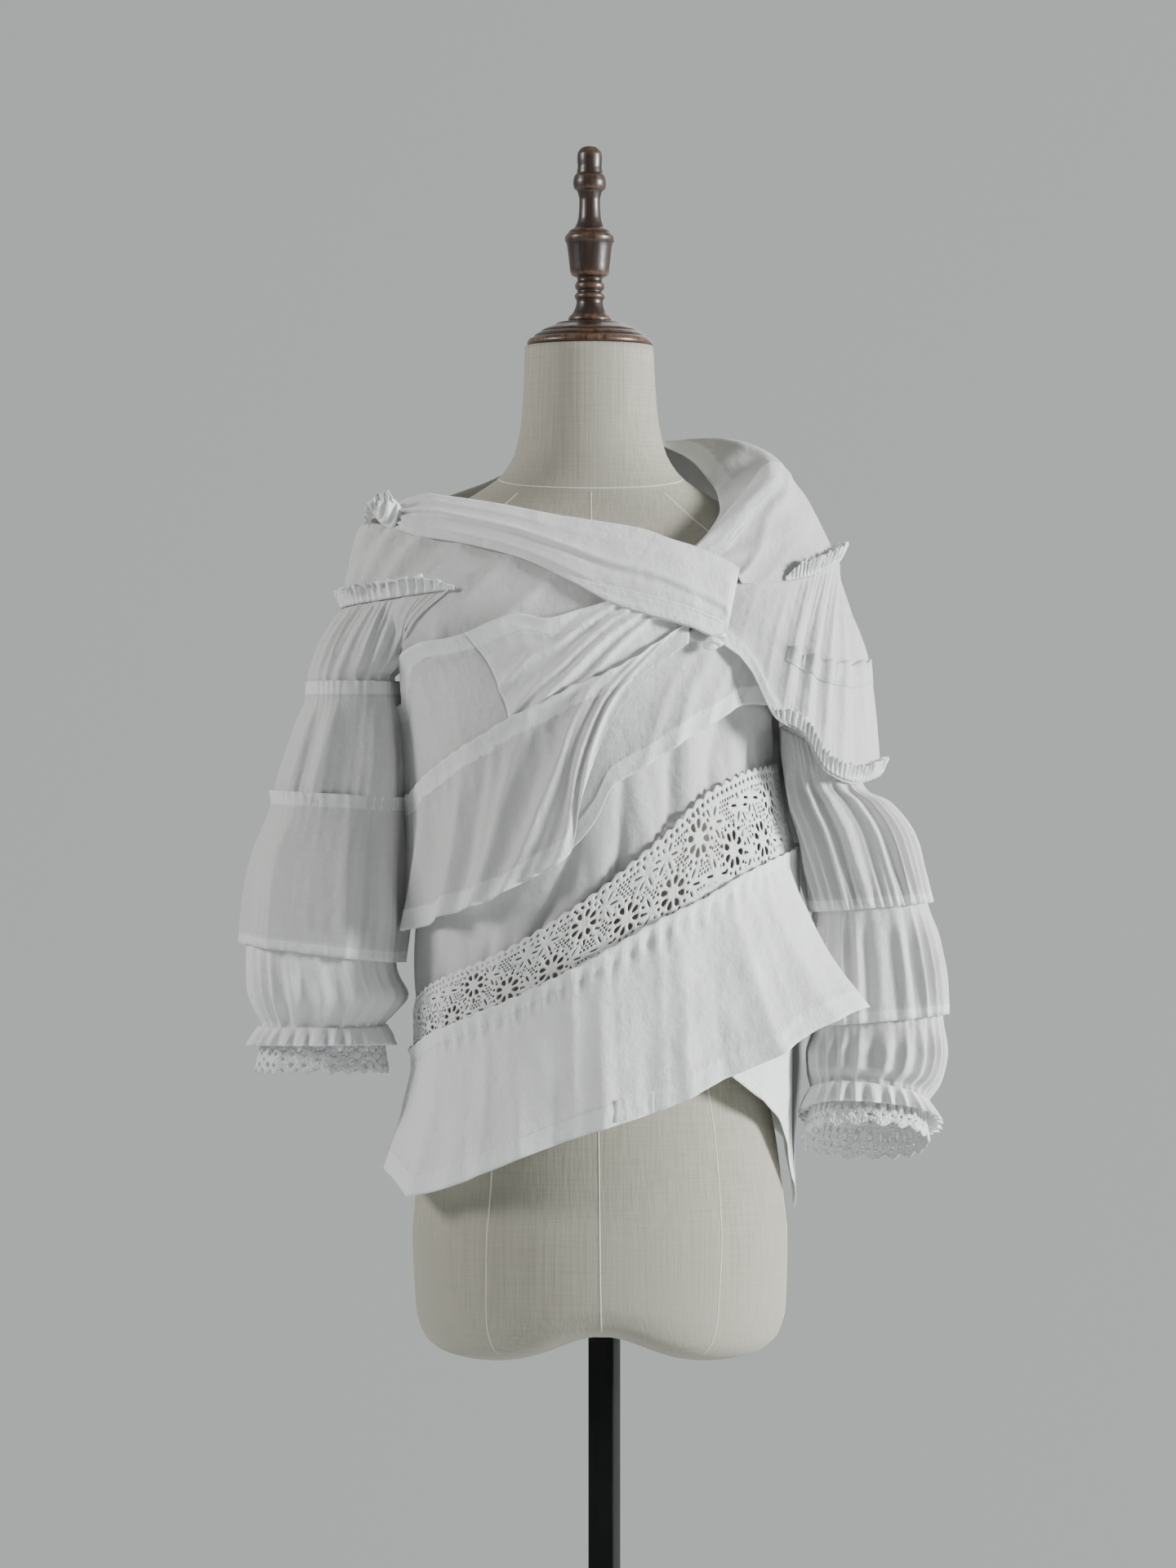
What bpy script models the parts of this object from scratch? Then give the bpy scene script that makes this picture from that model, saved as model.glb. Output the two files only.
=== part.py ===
"""A puff sleeve blouse on a limbless dress form.

Lengths in the tables are millimetres, and every piece is in world coordinates:
+Z up, the front towards -Y, the origin under the middle of the base plate.
Angles go round the body from the front (0) by the viewer's right (90), the
back (180) and the viewer's left (270 or -90).
"""
import math

import bpy
import numpy as np
from mathutils import Vector
from mathutils.geometry import delaunay_2d_cdt

for thing in list(bpy.data.objects):
    bpy.data.objects.remove(thing)

MM = 0.001

# Driving dimensions of the stand, in millimetres
BASE_SIDE = 300.0
BASE_THICK = 8.0
POLE_SIDE = 22.0
POLE_TURN = -17.0
FORM_BOTTOM = 680.0
FORM_TOP = 1522.0

# Driving dimensions of the blouse, in millimetres
CLOTH = 1.1
SEAM_GAP = 0.3
PANEL_STEP = 7.5
LACE_REPEAT_ANGLE = 32.7
LACE_STEP = 8.0

COTTON = ("cotton", (0.86, 0.86, 0.87), 0.85)
SHEER = ("cotton_voile", (0.78, 0.78, 0.80), 0.85)
LACE = ("lace", (0.88, 0.88, 0.88), 0.9)
LINEN = ("linen", (0.78, 0.76, 0.70), 0.9)
WALNUT = ("walnut", (0.10, 0.05, 0.03), 0.35)
BLACK_STEEL = ("black_steel", (0.015, 0.015, 0.017), 0.4)


def table(header, *rows):
    """A dictionary of columns from a header of names and one row for each section."""
    columns = np.array(rows, dtype=float).T
    return dict(zip(header.split(), columns))


def smooth(at, knots, values):
    """A curve through the knots that never overshoots them, read at each value of at."""
    gaps = np.diff(knots)
    rates = np.diff(values) / gaps
    slopes = np.concatenate([rates[:1], np.zeros(len(rates) - 1), rates[-1:]])
    both = rates[:-1] * rates[1:]
    inner = both > 0
    slopes[1:-1][inner] = 2 * both[inner] / (rates[:-1] + rates[1:])[inner]
    at = np.clip(at, knots[0], knots[-1])
    i = np.clip(np.searchsorted(knots, at, side="right") - 1, 0, len(gaps) - 1)
    t = (at - knots[i]) / gaps[i]
    start = values[i] * (1 + 2 * t) * (1 - t) ** 2 + slopes[i] * gaps[i] * t * (1 - t) ** 2
    end = values[i + 1] * (3 - 2 * t) * t**2 + slopes[i + 1] * gaps[i] * t**2 * (t - 1)
    return start + end


def read(rows, key, column, at):
    """One column of a table along its key column, whichever way the key runs."""
    order = np.argsort(rows[key])
    return smooth(np.asarray(at, float), rows[key][order], rows[column][order])


def unit(vectors):
    """The vectors at length one."""
    return vectors / np.maximum(np.linalg.norm(vectors, axis=-1, keepdims=True), 1e-9)


def add_object(name, points, faces, finish):
    """One named object from millimetre points, with its faces turned outwards."""
    points = np.asarray(points, float)
    faces = np.asarray(faces, int)
    corners = points[faces]
    volume = np.einsum("ij,ij->i", corners[:, 0], np.cross(corners[:, 1], corners[:, 2])).sum()
    if volume < 0:
        faces = faces[:, ::-1]
    mesh = bpy.data.meshes.new(name)
    mesh.from_pydata((points * MM).tolist(), [], faces.tolist())
    mesh.shade_smooth()
    mesh.set_sharp_from_angle(angle=math.radians(40))
    label, colour, roughness = finish
    surface = bpy.data.materials.get(label) or bpy.data.materials.new(label)
    surface.use_nodes = True
    shader = surface.node_tree.nodes["Principled BSDF"]
    shader.inputs["Base Color"].default_value = (*colour, 1.0)
    shader.inputs["Roughness"].default_value = roughness
    shader.inputs["Metallic"].default_value = 0.0
    mesh.materials.append(surface)
    body = bpy.data.objects.new(name, mesh)
    bpy.context.scene.collection.objects.link(body)
    return body


def grid_faces(rows, columns, closed):
    """Two triangles for each cell of a grid of points; closed joins its two sides."""
    across = columns if closed else columns - 1
    i, j = np.meshgrid(np.arange(rows - 1), np.arange(across), indexing="ij")
    k = (j + 1) % columns
    a, b = i * columns + j, (i + 1) * columns + j
    c, d = (i + 1) * columns + k, i * columns + k
    halves = np.stack([np.stack([a, b, c], -1), np.stack([a, c, d], -1)], 2)
    return halves.reshape(-1, 3)


def wall_normals(outer, closed):
    """Unit normals of a grid of points, worked out from its neighbours."""
    down = np.gradient(outer, axis=0)
    if closed:
        across = np.roll(outer, -1, axis=1) - np.roll(outer, 1, axis=1)
    else:
        across = np.gradient(outer, axis=1)
    return unit(np.cross(down, across))


def wall(name, outer, finish, closed=False, thick=CLOTH):
    """Cloth as a thin closed solid: the outer points and the same points moved in."""
    rows, columns = outer.shape[:2]
    inner = outer - thick * wall_normals(outer, closed)
    count = rows * columns
    front = grid_faces(rows, columns, closed)
    back = front[:, ::-1] + count
    edge = [np.arange(columns), np.arange(columns) + (rows - 1) * columns]
    loops = [(edge[0][::-1], closed), (edge[1], closed)]
    if not closed:
        side = np.arange(rows) * columns
        loops += [(side, False), (side[::-1] + columns - 1, False)]
    rims = []
    for line, joined in loops:
        following = np.roll(line, -1) if joined else line[1:]
        line = line if joined else line[:-1]
        rims.append(np.stack([line, line + count, following + count], -1))
        rims.append(np.stack([line, following + count, following], -1))
    points = np.concatenate([outer.reshape(-1, 3), inner.reshape(-1, 3)])
    return add_object(name, points, np.concatenate([front, back, *rims]), finish)


def capped_tube(name, rings, finish):
    """A solid of stacked rings of points, closed by a fan at each end."""
    rows, columns = rings.shape[:2]
    points = np.concatenate([rings.reshape(-1, 3), rings[:1].mean(1), rings[-1:].mean(1)])
    faces = [grid_faces(rows, columns, True)]
    ring = np.arange(columns)
    following = np.roll(ring, -1)
    top, bottom = rows * columns, rows * columns + 1
    last = (rows - 1) * columns
    faces.append(np.stack([np.full(columns, top), ring, following], -1))
    faces.append(np.stack([np.full(columns, bottom), following + last, ring + last], -1))
    return add_object(name, points, np.concatenate(faces), finish)


def blend_rows(controls, rows, columns):
    """A grid of points through a coarse grid of control points, smooth both ways."""
    controls = np.asarray(controls, float)
    along = np.arange(controls.shape[0], dtype=float)
    across = np.arange(controls.shape[1], dtype=float)
    at_rows = np.linspace(0, along[-1], rows)
    at_columns = np.linspace(0, across[-1], columns)
    wide = np.empty((controls.shape[0], columns, 3))
    for i in range(controls.shape[0]):
        for k in range(3):
            wide[i, :, k] = smooth(at_columns, across, controls[i, :, k])
    grid = np.empty((rows, columns, 3))
    for j in range(columns):
        for k in range(3):
            grid[:, j, k] = smooth(at_rows, along, wide[:, j, k])
    return grid


# The dress form: half width and the depths in front and behind at each height
FORM = table(
    "z half front back",
    (790, 155.7, 105, 110),
    (860, 148, 98, 112),
    (900, 141, 95, 107),
    (950, 131, 91, 98),
    (1010, 120, 87, 88),
    (1062, 114, 82, 80),
    (1130, 119, 92, 78),
    (1200, 134, 110, 88),
    (1240, 142, 117, 95),
    (1290, 150, 101, 100),
    (1320, 160, 90, 96),
    (1345, 168, 76, 88),
    (1362, 163, 64, 80),
    (1376, 138, 58, 73),
    (1390, 112, 54, 68),
    (1401, 93, 53, 64),
    (1415, 74, 52, 60),
    (1436, 62, 53, 56),
    (1470, 56, 52, 53),
    (1522, 53.4, 52, 52),
)
LOBE = table(
    "height shrink",
    (0, 0.60),
    (3, 0.74),
    (9, 0.86),
    (20, 0.94),
    (42, 0.985),
    (90, 1.0),
)
ARCH_HEIGHT = 25.0
ARCH_WIDTH = 52.0
ARCH_FADE = 70.0
SOCKET_RADIUS = 24.0
SOCKET_HEIGHT = 700.0
FLOOR_SHARE = 0.5
FORM_COLUMNS = 24
FORM_LEAN = 0.0118
FORM_LEAN_FROM = 790.0
FORM_X_THERE = -4.1


def form_centre(z):
    """The form leans a little to the viewer's left as it rises."""
    return FORM_X_THERE - (z - FORM_LEAN_FROM) * FORM_LEAN


def form_ring(z, shrink=1.0):
    """One level ring of the torso, from the front round by the viewer's right."""
    angle = np.linspace(0, 2 * np.pi, FORM_COLUMNS, endpoint=False)
    half = read(FORM, "z", "half", z) * shrink
    front = read(FORM, "z", "front", z) * shrink
    back = read(FORM, "z", "back", z) * shrink
    depth = np.where(np.cos(angle) > 0, front, back)
    x = form_centre(z) + half * np.sin(angle)
    return np.stack([x, -depth * np.cos(angle), np.full_like(x, z)], -1)


def build_form_body():
    """The padded torso, with the saddle between its two lobes at the bottom."""
    rings = [form_ring(z) for z in FORM["z"][::-1]]
    for height, shrink in zip(LOBE["height"][::-1], LOBE["shrink"][::-1]):
        ring = form_ring(FORM_BOTTOM + height, shrink)
        side = (ring[:, 0] - form_centre(FORM_BOTTOM)) / ARCH_WIDTH
        fade = max(0.0, 1 - height / ARCH_FADE)
        ring[:, 2] += ARCH_HEIGHT * fade * np.exp(-(side**2))
        rings.append(ring)
    grid = np.array(rings)
    floor = grid[-1].copy()
    floor[:, :2] = grid[-1][:, :2] * FLOOR_SHARE
    side = (floor[:, 0] - form_centre(FORM_BOTTOM)) / ARCH_WIDTH
    floor[:, 2] = FORM_BOTTOM + ARCH_HEIGHT * np.exp(-(side**2))
    angle = np.linspace(0, 2 * np.pi, FORM_COLUMNS, endpoint=False)
    socket = np.stack([np.sin(angle), -np.cos(angle), 0 * angle], -1) * SOCKET_RADIUS
    socket[:, 2] = SOCKET_HEIGHT
    capped_tube("form_body", np.concatenate([grid, floor[None], socket[None]]), LINEN)


# The turned wood on the neck: radius at each height above the neck's top edge
CAP = table(
    "z radius",
    (0.3, 50.8),
    (2.5, 52.4),
    (6, 51.0),
    (9.5, 46.0),
    (13.5, 40.5),
    (18, 30.0),
    (20, 27.0),
)
FINIAL = table(
    "z radius",
    (20.3, 17.5),
    (25, 17.7),
    (30, 13.5),
    (37, 11.2),
    (42, 12.8),
    (46, 10.5),
    (51, 12.5),
    (56, 10.6),
    (62, 16.0),
    (70, 17.4),
    (80, 18.6),
    (88, 20.4),
    (92, 20.8),
    (95, 17.7),
    (100, 12.6),
    (108, 9.6),
    (122, 8.9),
    (130, 11.2),
    (137, 14.0),
    (144, 12.4),
    (150, 10.4),
    (160, 10.6),
    (165, 8.0),
    (167, 4.0),
)
TURNED_SIDES = 12
NECK_X = -12.0


def turned(name, profile, finish):
    """A turned piece on the neck from its profile."""
    angle = np.linspace(0, 2 * np.pi, TURNED_SIDES, endpoint=False)
    radius = profile["radius"][::-1, None]
    x = NECK_X + radius * np.sin(angle)
    y = -radius * np.cos(angle)
    z = np.broadcast_to((FORM_TOP + profile["z"])[::-1, None], x.shape)
    capped_tube(name, np.stack([x, y, z], -1), finish)


def square_block(name, sides, low, high, turn, finish):
    """An upright block with a square plan, turned about Z."""
    angle = np.radians(np.array([45, 135, 225, 315]) + turn)
    reach = sides / math.sqrt(2)
    x, y = reach * np.sin(angle), -reach * np.cos(angle)
    rings = [np.stack([x, y, np.full(4, z)], -1) for z in (high, low)]
    capped_tube(name, np.array(rings), finish)


# The hull that the blouse hangs on: its reach to each side at each height
HULL = table(
    "z left right front back",
    (800, -164, 149, 126, 120),
    (860, -160, 150, 126, 120),
    (900, -156, 152, 124, 118),
    (950, -156, 155, 123, 114),
    (1000, -157, 158, 123, 108),
    (1050, -158, 158, 124, 102),
    (1100, -160, 156, 125, 98),
    (1141, -163, 147, 127, 96),
    (1190, -166, 140, 129, 98),
    (1225, -170, 142, 130, 102),
    (1250, -178, 152, 128, 105),
    (1275, -196, 166, 124, 108),
    (1300, -214, 180, 118, 110),
    (1318, -215, 190, 110, 110),
    (1340, -213, 192, 98, 108),
    (1362, -208, 186, 86, 104),
    (1380, -198, 174, 76, 98),
    (1395, -165, 150, 70, 90),
    (1410, -130, 112, 66, 80),
    (1425, -100, 80, 64, 68),
    (1442, -82, 62, 62, 57.5),
)


def hull(angle, z, lift):
    """The point at an angle and height round the body, lift outside the hull."""
    a = np.radians(angle)
    left = read(HULL, "z", "left", z)
    right = read(HULL, "z", "right", z)
    depth = np.where(np.cos(a) > 0, read(HULL, "z", "front", z), read(HULL, "z", "back", z))
    x = (left + right) / 2 + ((right - left) / 2 + lift) * np.sin(a)
    y = -(depth + lift) * np.cos(a)
    return np.stack(np.broadcast_arrays(x, y, z), -1)


def on_front(x, z, lift):
    """The point at x and z in the front view, lift outside the hull."""
    left = read(HULL, "z", "left", z)
    right = read(HULL, "z", "right", z)
    sine = np.clip((x - (left + right) / 2) / ((right - left) / 2 + lift), -0.999, 0.999)
    y = -(read(HULL, "z", "front", z) + lift) * np.sqrt(1 - sine**2)
    return np.stack(np.broadcast_arrays(x, y, z), -1)


def ridges(angle, down, folds):
    """Height of the soft folds: each runs from its top angle to its bottom angle."""
    total = np.zeros(np.broadcast(angle, down).shape)
    if folds is None:
        return total
    for top, bottom, width, high, low in zip(*folds.values()):
        centre = top + (bottom - top) * down
        height = high + (low - high) * down
        total = total + height * np.exp(-(((angle - centre) / width) ** 2))
    return total


def panel_angles(start, end, step=PANEL_STEP):
    """Angles on one shared grid, with the panel's own two ends."""
    first = math.floor(start / step) + 1
    last = math.ceil(end / step) - 1
    inside = [k * step for k in range(first, last + 1)]
    inside = [a for a in inside if a - start > 1.5 and end - a > 1.5]
    return np.array([start, *inside, end])


def wrap(name, start, end, edges, levels, finish, folds=None, step=PANEL_STEP):
    """A panel round the hull. edges has angle, top and bottom; levels has share and lift."""
    angle = panel_angles(start, end, step)[None, :]
    top = read(edges, "angle", "top", angle)
    bottom = read(edges, "angle", "bottom", angle)
    share = levels["share"][:, None]
    extra = read(edges, "angle", "flare", angle) if "flare" in edges else 0.0
    lift = levels["lift"][:, None] + extra * share**1.5 + ridges(angle, share, folds)
    z = top + (bottom - top) * share
    wall(name, hull(angle, z, lift), finish)


def build_front_yoke():
    """Sheer yoke under the sash, from the left sleeve head to the chest panels."""
    edges = table(
        "angle top bottom",
        (-94, 1374, 1302),
        (-72, 1374, 1302),
        (-66, 1373, 1246),
        (-52, 1370, 1254),
        (-36, 1362, 1262),
        (-30, 1360, 1262),
        (-12, 1352, 1278),
        (0, 1346, 1290),
        (15, 1338, 1300),
        (30, 1326, 1302),
    )
    levels = table("share lift", (0, 0), (0.35, 0), (0.7, 0), (1, 0))
    folds = table("top bottom width high low", (-44, -32, 5, 1.2, 0), (-10, -14, 8, 0, 1.8))
    wrap("front_yoke", -94, 30, edges, levels, SHEER, folds)


def build_back_bodice():
    """Plain back from the neckline to the back tier."""
    edges = table(
        "angle top bottom",
        (96, 1318, 1236),
        (120, 1330, 1236),
        (138, 1372, 1232),
        (160, 1408, 1222),
        (180, 1424, 1208),
        (205, 1436, 1188),
        (222, 1428, 1176),
        (236, 1405, 1172),
        (242, 1397, 1240),
        (249, 1387, 1303),
        (265.5, 1374, 1304),
    )
    levels = table("share lift", (0, 0), (0.15, 0), (0.36, 0), (0.6, -1), (0.8, -2), (1, -2))
    wrap("back_bodice", 96, 265.5, edges, levels, COTTON)


# The tiers: each has a heading that stands on the panel above it and a loose hem
TIER_LEFT = table(
    "angle top bottom",
    (-90, 1146, 1034),
    (-74, 1150, 1037),
    (-60, 1163, 1043),
    (-47, 1180, 1052),
    (-34, 1196, 1062),
    (-24, 1211, 1076),
    (-15, 1222, 1089),
    (-9, 1230, 1101),
    (-4, 1238, 1142),
    (0.5, 1243, 1172),
    (6, 1250, 1205),
    (13, 1262, 1232),
    (20, 1277, 1256),
    (26, 1290, 1272),
)
TIER_RIGHT = table(
    "angle top bottom",
    (-12, 1116, 1098),
    (-4, 1160, 1117),
    (0.5, 1190, 1132),
    (6, 1222, 1156),
    (13, 1246, 1167),
    (20, 1262, 1178),
    (26, 1280, 1188),
    (33, 1286, 1199),
    (41, 1284, 1209),
    (50, 1270, 1222),
    (57, 1256, 1223),
    (66, 1246, 1222),
    (78, 1246, 1217),
    (90, 1248, 1212),
)
TIER_BACK = table(
    "angle top bottom",
    (90, 1246, 1136),
    (120, 1242, 1132),
    (150, 1232, 1122),
    (180, 1214, 1104),
    (210, 1190, 1080),
    (240, 1165, 1055),
    (270, 1146, 1034),
)
TIER_LEVELS = table("share lift", (0, 5.4), (0.1, 3.9), (0.4, 5.5), (0.7, 7.0), (1, 8.0))
SLIP = 0.12


def build_tiers():
    """Three overlapping tiers: left front, right front under it, and back."""
    folds = table(
        "top bottom width high low",
        (-44, -52, 7, 1, 5),
        (-20, -40, 6, 1, 5),
        (2, -30, 7, 1, 6),
        (-62, -74, 6, 1, 4),
    )
    wrap("tier_left", -90 + SLIP, 26, TIER_LEFT, TIER_LEVELS, SHEER, folds, step=6.0)
    levels = table("share lift", (0, 2.2), (0.3, 2.2), (0.65, 2.6), (1, 3.4))
    folds = table("top bottom width high low", (62, 50, 5, 0, 2), (36, 24, 5, 0, 1.5))
    wrap("tier_right", -12, 90 - SLIP, TIER_RIGHT, levels, SHEER, folds, step=6.0)
    folds = table(
        "top bottom width high low",
        (112, 108, 8, 0, 3),
        (140, 146, 8, 0, 6),
        (178, 170, 9, 0, 5),
        (212, 220, 8, 0, 6),
        (246, 242, 8, 0, 4),
    )
    wrap("tier_back", 90 + SLIP, 270 - SLIP, TIER_BACK, TIER_LEVELS, SHEER, folds)


def build_under_panels():
    """The plain layer below the tiers, down to the lace."""
    front = table(
        "angle top bottom",
        (-90, 1046, 961),
        (-60, 1055, 988),
        (-34, 1074, 1012),
        (-15, 1100, 1046),
        (-6, 1128, 1064),
        (0.5, 1184, 1078),
        (6, 1216, 1088),
        (13, 1240, 1101),
        (20, 1262, 1116),
        (26, 1270, 1126),
        (33, 1270, 1136),
        (41, 1262, 1149),
        (50, 1246, 1157),
        (57, 1234, 1161),
        (66, 1226, 1164),
        (90, 1216, 1167),
    )
    levels = table("share lift", (0, 0), (0.5, 0), (1, 0.2))
    folds = table(
        "top bottom width high low",
        (10, 2, 4, 0, -5),
        (-8, -22, 5, 0, -5),
        (52, 40, 5, 0, -4),
        (-52, -60, 6, 0, -4),
    )
    wrap("under_front", -90 + SLIP, 90 - SLIP, front, levels, SHEER, folds, step=6.0)
    back = table(
        "angle top bottom",
        (90, 1216, 1167),
        (120, 1214, 1160),
        (150, 1204, 1132),
        (180, 1186, 1082),
        (210, 1158, 1032),
        (240, 1120, 992),
        (270, 1046, 961),
    )
    folds = table(
        "top bottom width high low",
        (118, 122, 8, 0, -4),
        (156, 150, 8, 0, -5),
        (196, 200, 8, 0, -5),
        (232, 236, 8, 0, -4),
    )
    wrap("under_back", 90 + SLIP, 270 - SLIP, back, levels, SHEER, folds)


# The lace strip: heights of its edges round the body
LACE_EDGES = table(
    "angle top bottom",
    (-90, 969, 929),
    (-75, 985, 934),
    (-34, 1020, 967),
    (-8, 1061, 1002),
    (17, 1114, 1042),
    (40, 1157, 1071),
    (62, 1172, 1090),
    (90, 1175, 1099),
    (120, 1168, 1096),
    (150, 1140, 1071),
    (180, 1090, 1023),
    (210, 1040, 977),
    (240, 1000, 941),
    (270, 969, 929),
)
PETALS = 6
PETAL_INNER = 4.8
PETAL_OUTER = 12.6
PETAL_HALF = 3.0
FLOWER_PLACES = ((-0.17, 0.33), (0.17, 0.63))
LACE_LIFT = 2.8
LACE_WIDTH = 60.0
MM_PER_DEGREE = 2.7
FLOWER_CLEAR = 17.0


def flower_centres(start, end):
    """The flowers' centres, as angle and share down: two in each repeat of the lace."""
    count = round((end - start) / LACE_REPEAT_ANGLE)
    pitch = (end - start) / count
    middles = [start + (repeat + 0.5) * pitch for repeat in range(count)]
    return [(middle + along * pitch, down) for middle in middles for along, down in FLOWER_PLACES]


def petal_corners(centre, down):
    """The three corners of each petal gap of one flower, as angle and share down."""
    reach = np.array([centre - 2.0, centre + 2.0])
    height = read(LACE_EDGES, "angle", "top", reach)
    low = read(LACE_EDGES, "angle", "bottom", reach)
    ends = hull(reach, height + (low - height) * down, LACE_LIFT)
    run = unit(ends[1] - ends[0])
    per_degree = np.linalg.norm((ends[1] - ends[0])[:2]) / 4.0
    depth = float((height - low).mean())
    slope = math.atan2(run[2], math.hypot(run[0], run[1]))
    petals = []
    for petal in range(PETALS):
        turn = math.tau * (petal + 0.5) / PETALS
        corners = []
        for out, side in ((PETAL_INNER, 0.0), (PETAL_OUTER, -PETAL_HALF), (PETAL_OUTER, PETAL_HALF)):
            u = out * math.cos(turn) - side * math.sin(turn)
            v = out * math.sin(turn) + side * math.cos(turn)
            level = u * math.cos(slope) - v * math.sin(slope)
            rise = u * math.sin(slope) + v * math.cos(slope)
            rise -= math.tan(slope) * level
            corners.append((centre + level / per_degree, down - rise / depth))
        petals.append(corners)
    return petals


def between_flowers(angles, centres):
    """Points along the middle of the lace that lie clear of every flower."""
    spaced = []
    for angle in angles:
        away = [math.hypot((angle - a) * MM_PER_DEGREE, (0.5 - d) * LACE_WIDTH) for a, d in centres]
        if min(away) > FLOWER_CLEAR:
            spaced.append((angle, 0.5))
    return spaced


def lace_panel(name, start, end):
    """A strip of lace with the gaps of its flowers cut through."""
    angle = panel_angles(start, end, LACE_STEP)
    points = [(a, 0.0) for a in angle] + [(a, 1.0) for a in angle[::-1]]
    faces = [list(range(len(points)))]
    centres = flower_centres(start, end)
    for centre, down in centres:
        for corners in petal_corners(centre, down):
            faces.append(list(range(len(points), len(points) + len(corners))))
            points += corners
    edges = [(f[i], f[(i + 1) % len(f)]) for f in faces for i in range(len(f))]
    points += between_flowers(angle[1:-1], centres)
    flat = [Vector((a * MM_PER_DEGREE / LACE_WIDTH, s)) for a, s in points]
    found = delaunay_2d_cdt(flat, edges, faces[:1], 1, 1e-7)
    vertices, triangles, origins = found[0], found[2], found[3]
    hole_of = {p: h for h, f in enumerate(faces[1:]) for p in f}
    owner = [next((hole_of[o] for o in own if o in hole_of), None) for own in origins]
    kept = []
    for face in triangles:
        owners = {owner[v] for v in face}
        if len(owners) > 1 or None in owners:
            kept.append(face)
    kept = np.array(kept)
    flat = np.array(vertices)
    turned_way = np.cross(flat[kept[:, 1]] - flat[kept[:, 0]], flat[kept[:, 2]] - flat[kept[:, 0]])
    kept[turned_way < 0] = kept[turned_way < 0][:, ::-1]
    place = flat * np.array([LACE_WIDTH / MM_PER_DEGREE, 1.0])
    high = read(LACE_EDGES, "angle", "top", place[:, 0])
    low = read(LACE_EDGES, "angle", "bottom", place[:, 0])
    z = high + (low - high) * place[:, 1]
    outer = hull(place[:, 0], z, LACE_LIFT)
    inner = hull(place[:, 0], z, LACE_LIFT - CLOTH)
    count = len(outer)
    sides = np.concatenate([kept[:, [0, 1]], kept[:, [1, 2]], kept[:, [2, 0]]])
    known = {tuple(side) for side in sides}
    rim = np.array([side for side in sides if (side[1], side[0]) not in known])
    walls = [
        np.stack([rim[:, 1], rim[:, 0], rim[:, 0] + count], -1),
        np.stack([rim[:, 1], rim[:, 0] + count, rim[:, 1] + count], -1),
    ]
    faces = np.concatenate([kept, kept[:, ::-1] + count, *walls])
    add_object(name, np.concatenate([outer, inner]), faces, LACE)


# The crisp bottom flounce: flare is how far its hem stands off
PEPLUM_EDGES = table(
    "angle top bottom flare",
    (-90, 936, 850, 13),
    (-75, 942, 835, 12),
    (-62, 953, 821, 9),
    (-50, 962, 827, 7),
    (-34, 977, 842, 7),
    (-8, 1011, 872, 8),
    (17, 1051, 897, 12),
    (30, 1067, 913, 20),
    (40, 1081, 923, 30),
    (50, 1091, 934, 44),
    (60, 1098, 947, 64),
    (68, 1102, 971, 66),
    (74, 1104, 970, 30),
    (80, 1106, 965, 12),
    (90, 1109, 950, 2),
    (100, 1109, 905, 2),
    (110, 1108, 850, 3),
    (118, 1106, 803, 5),
    (126, 1101, 850, 12),
    (135, 1094, 885, 14),
    (150, 1081, 905, 16),
    (180, 1033, 925, 14),
    (220, 974, 880, 14),
    (250, 944, 846, 15),
    (270, 936, 850, 13),
)
PEPLUM_LEVELS = table(
    "share lift",
    (0, 5.6),
    (0.1, 4.0),
    (0.38, 5.4),
    (0.7, 6.2),
    (1, 7.0),
)


def build_peplum():
    """The bottom flounce, in a front and a back half."""
    folds = table(
        "top bottom width high low",
        (38, 44, 5, 1, 5),
        (20, 22, 5, 1, 4),
        (-2, 2, 5, 1, 3),
        (-30, -22, 6, 1, 3),
        (-56, -58, 6, 1, 4),
    )
    wrap("peplum_front", -90 + SLIP, 90 - SLIP, PEPLUM_EDGES, PEPLUM_LEVELS, COTTON, folds, 6.0)
    folds = table(
        "top bottom width high low",
        (150, 146, 7, 1, 8),
        (182, 186, 7, 1, 9),
        (214, 210, 7, 1, 8),
        (244, 248, 6, 1, 7),
    )
    wrap("peplum_back", 90 + SLIP, 270 - SLIP, PEPLUM_EDGES, PEPLUM_LEVELS, COTTON, folds, 7.5)


def clear_of_hull(points, lift):
    """Moves points that lie inside the hull straight out, until they are lift outside it."""
    x, y, z = points[..., 0], points[..., 1], points[..., 2]
    left, right = read(HULL, "z", "left", z), read(HULL, "z", "right", z)
    depth = np.where(y < 0, read(HULL, "z", "front", z), read(HULL, "z", "back", z))
    centre = (left + right) / 2
    across = (x - centre) / ((right - left) / 2 + lift)
    share = np.hypot(across, y / (depth + lift))
    grow = np.where(share < 1, 1 / np.maximum(share, 0.2), 1.0)
    return np.stack([centre + (x - centre) * grow, y * grow, z], -1)


# The chest panels, whose headings stand on the yoke
CHEST_LEVELS = table("share lift", (0, 5.4), (0.12, 3.0), (0.5, 2.5), (1, 2.1))
CHEST_EDGE_TOP = -31.0
CHEST_EDGE_SLANT = 8.5


def chest_panel(name, start, end, slant_start, slant_end, edges, finish, extra):
    """A chest panel whose side edges slant by some degrees from top to bottom."""
    angle = panel_angles(start, end)[None, :]
    along = (angle - start) / (end - start)
    share = CHEST_LEVELS["share"][:, None]
    angle = angle + share * (slant_start * (1 - along) + slant_end * along)
    top, bottom = read(edges, "angle", "top", angle), read(edges, "angle", "bottom", angle)
    lift = CHEST_LEVELS["lift"][:, None] + extra * (1 - share)
    wall(name, hull(angle, top + (bottom - top) * share, lift), finish)


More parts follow.
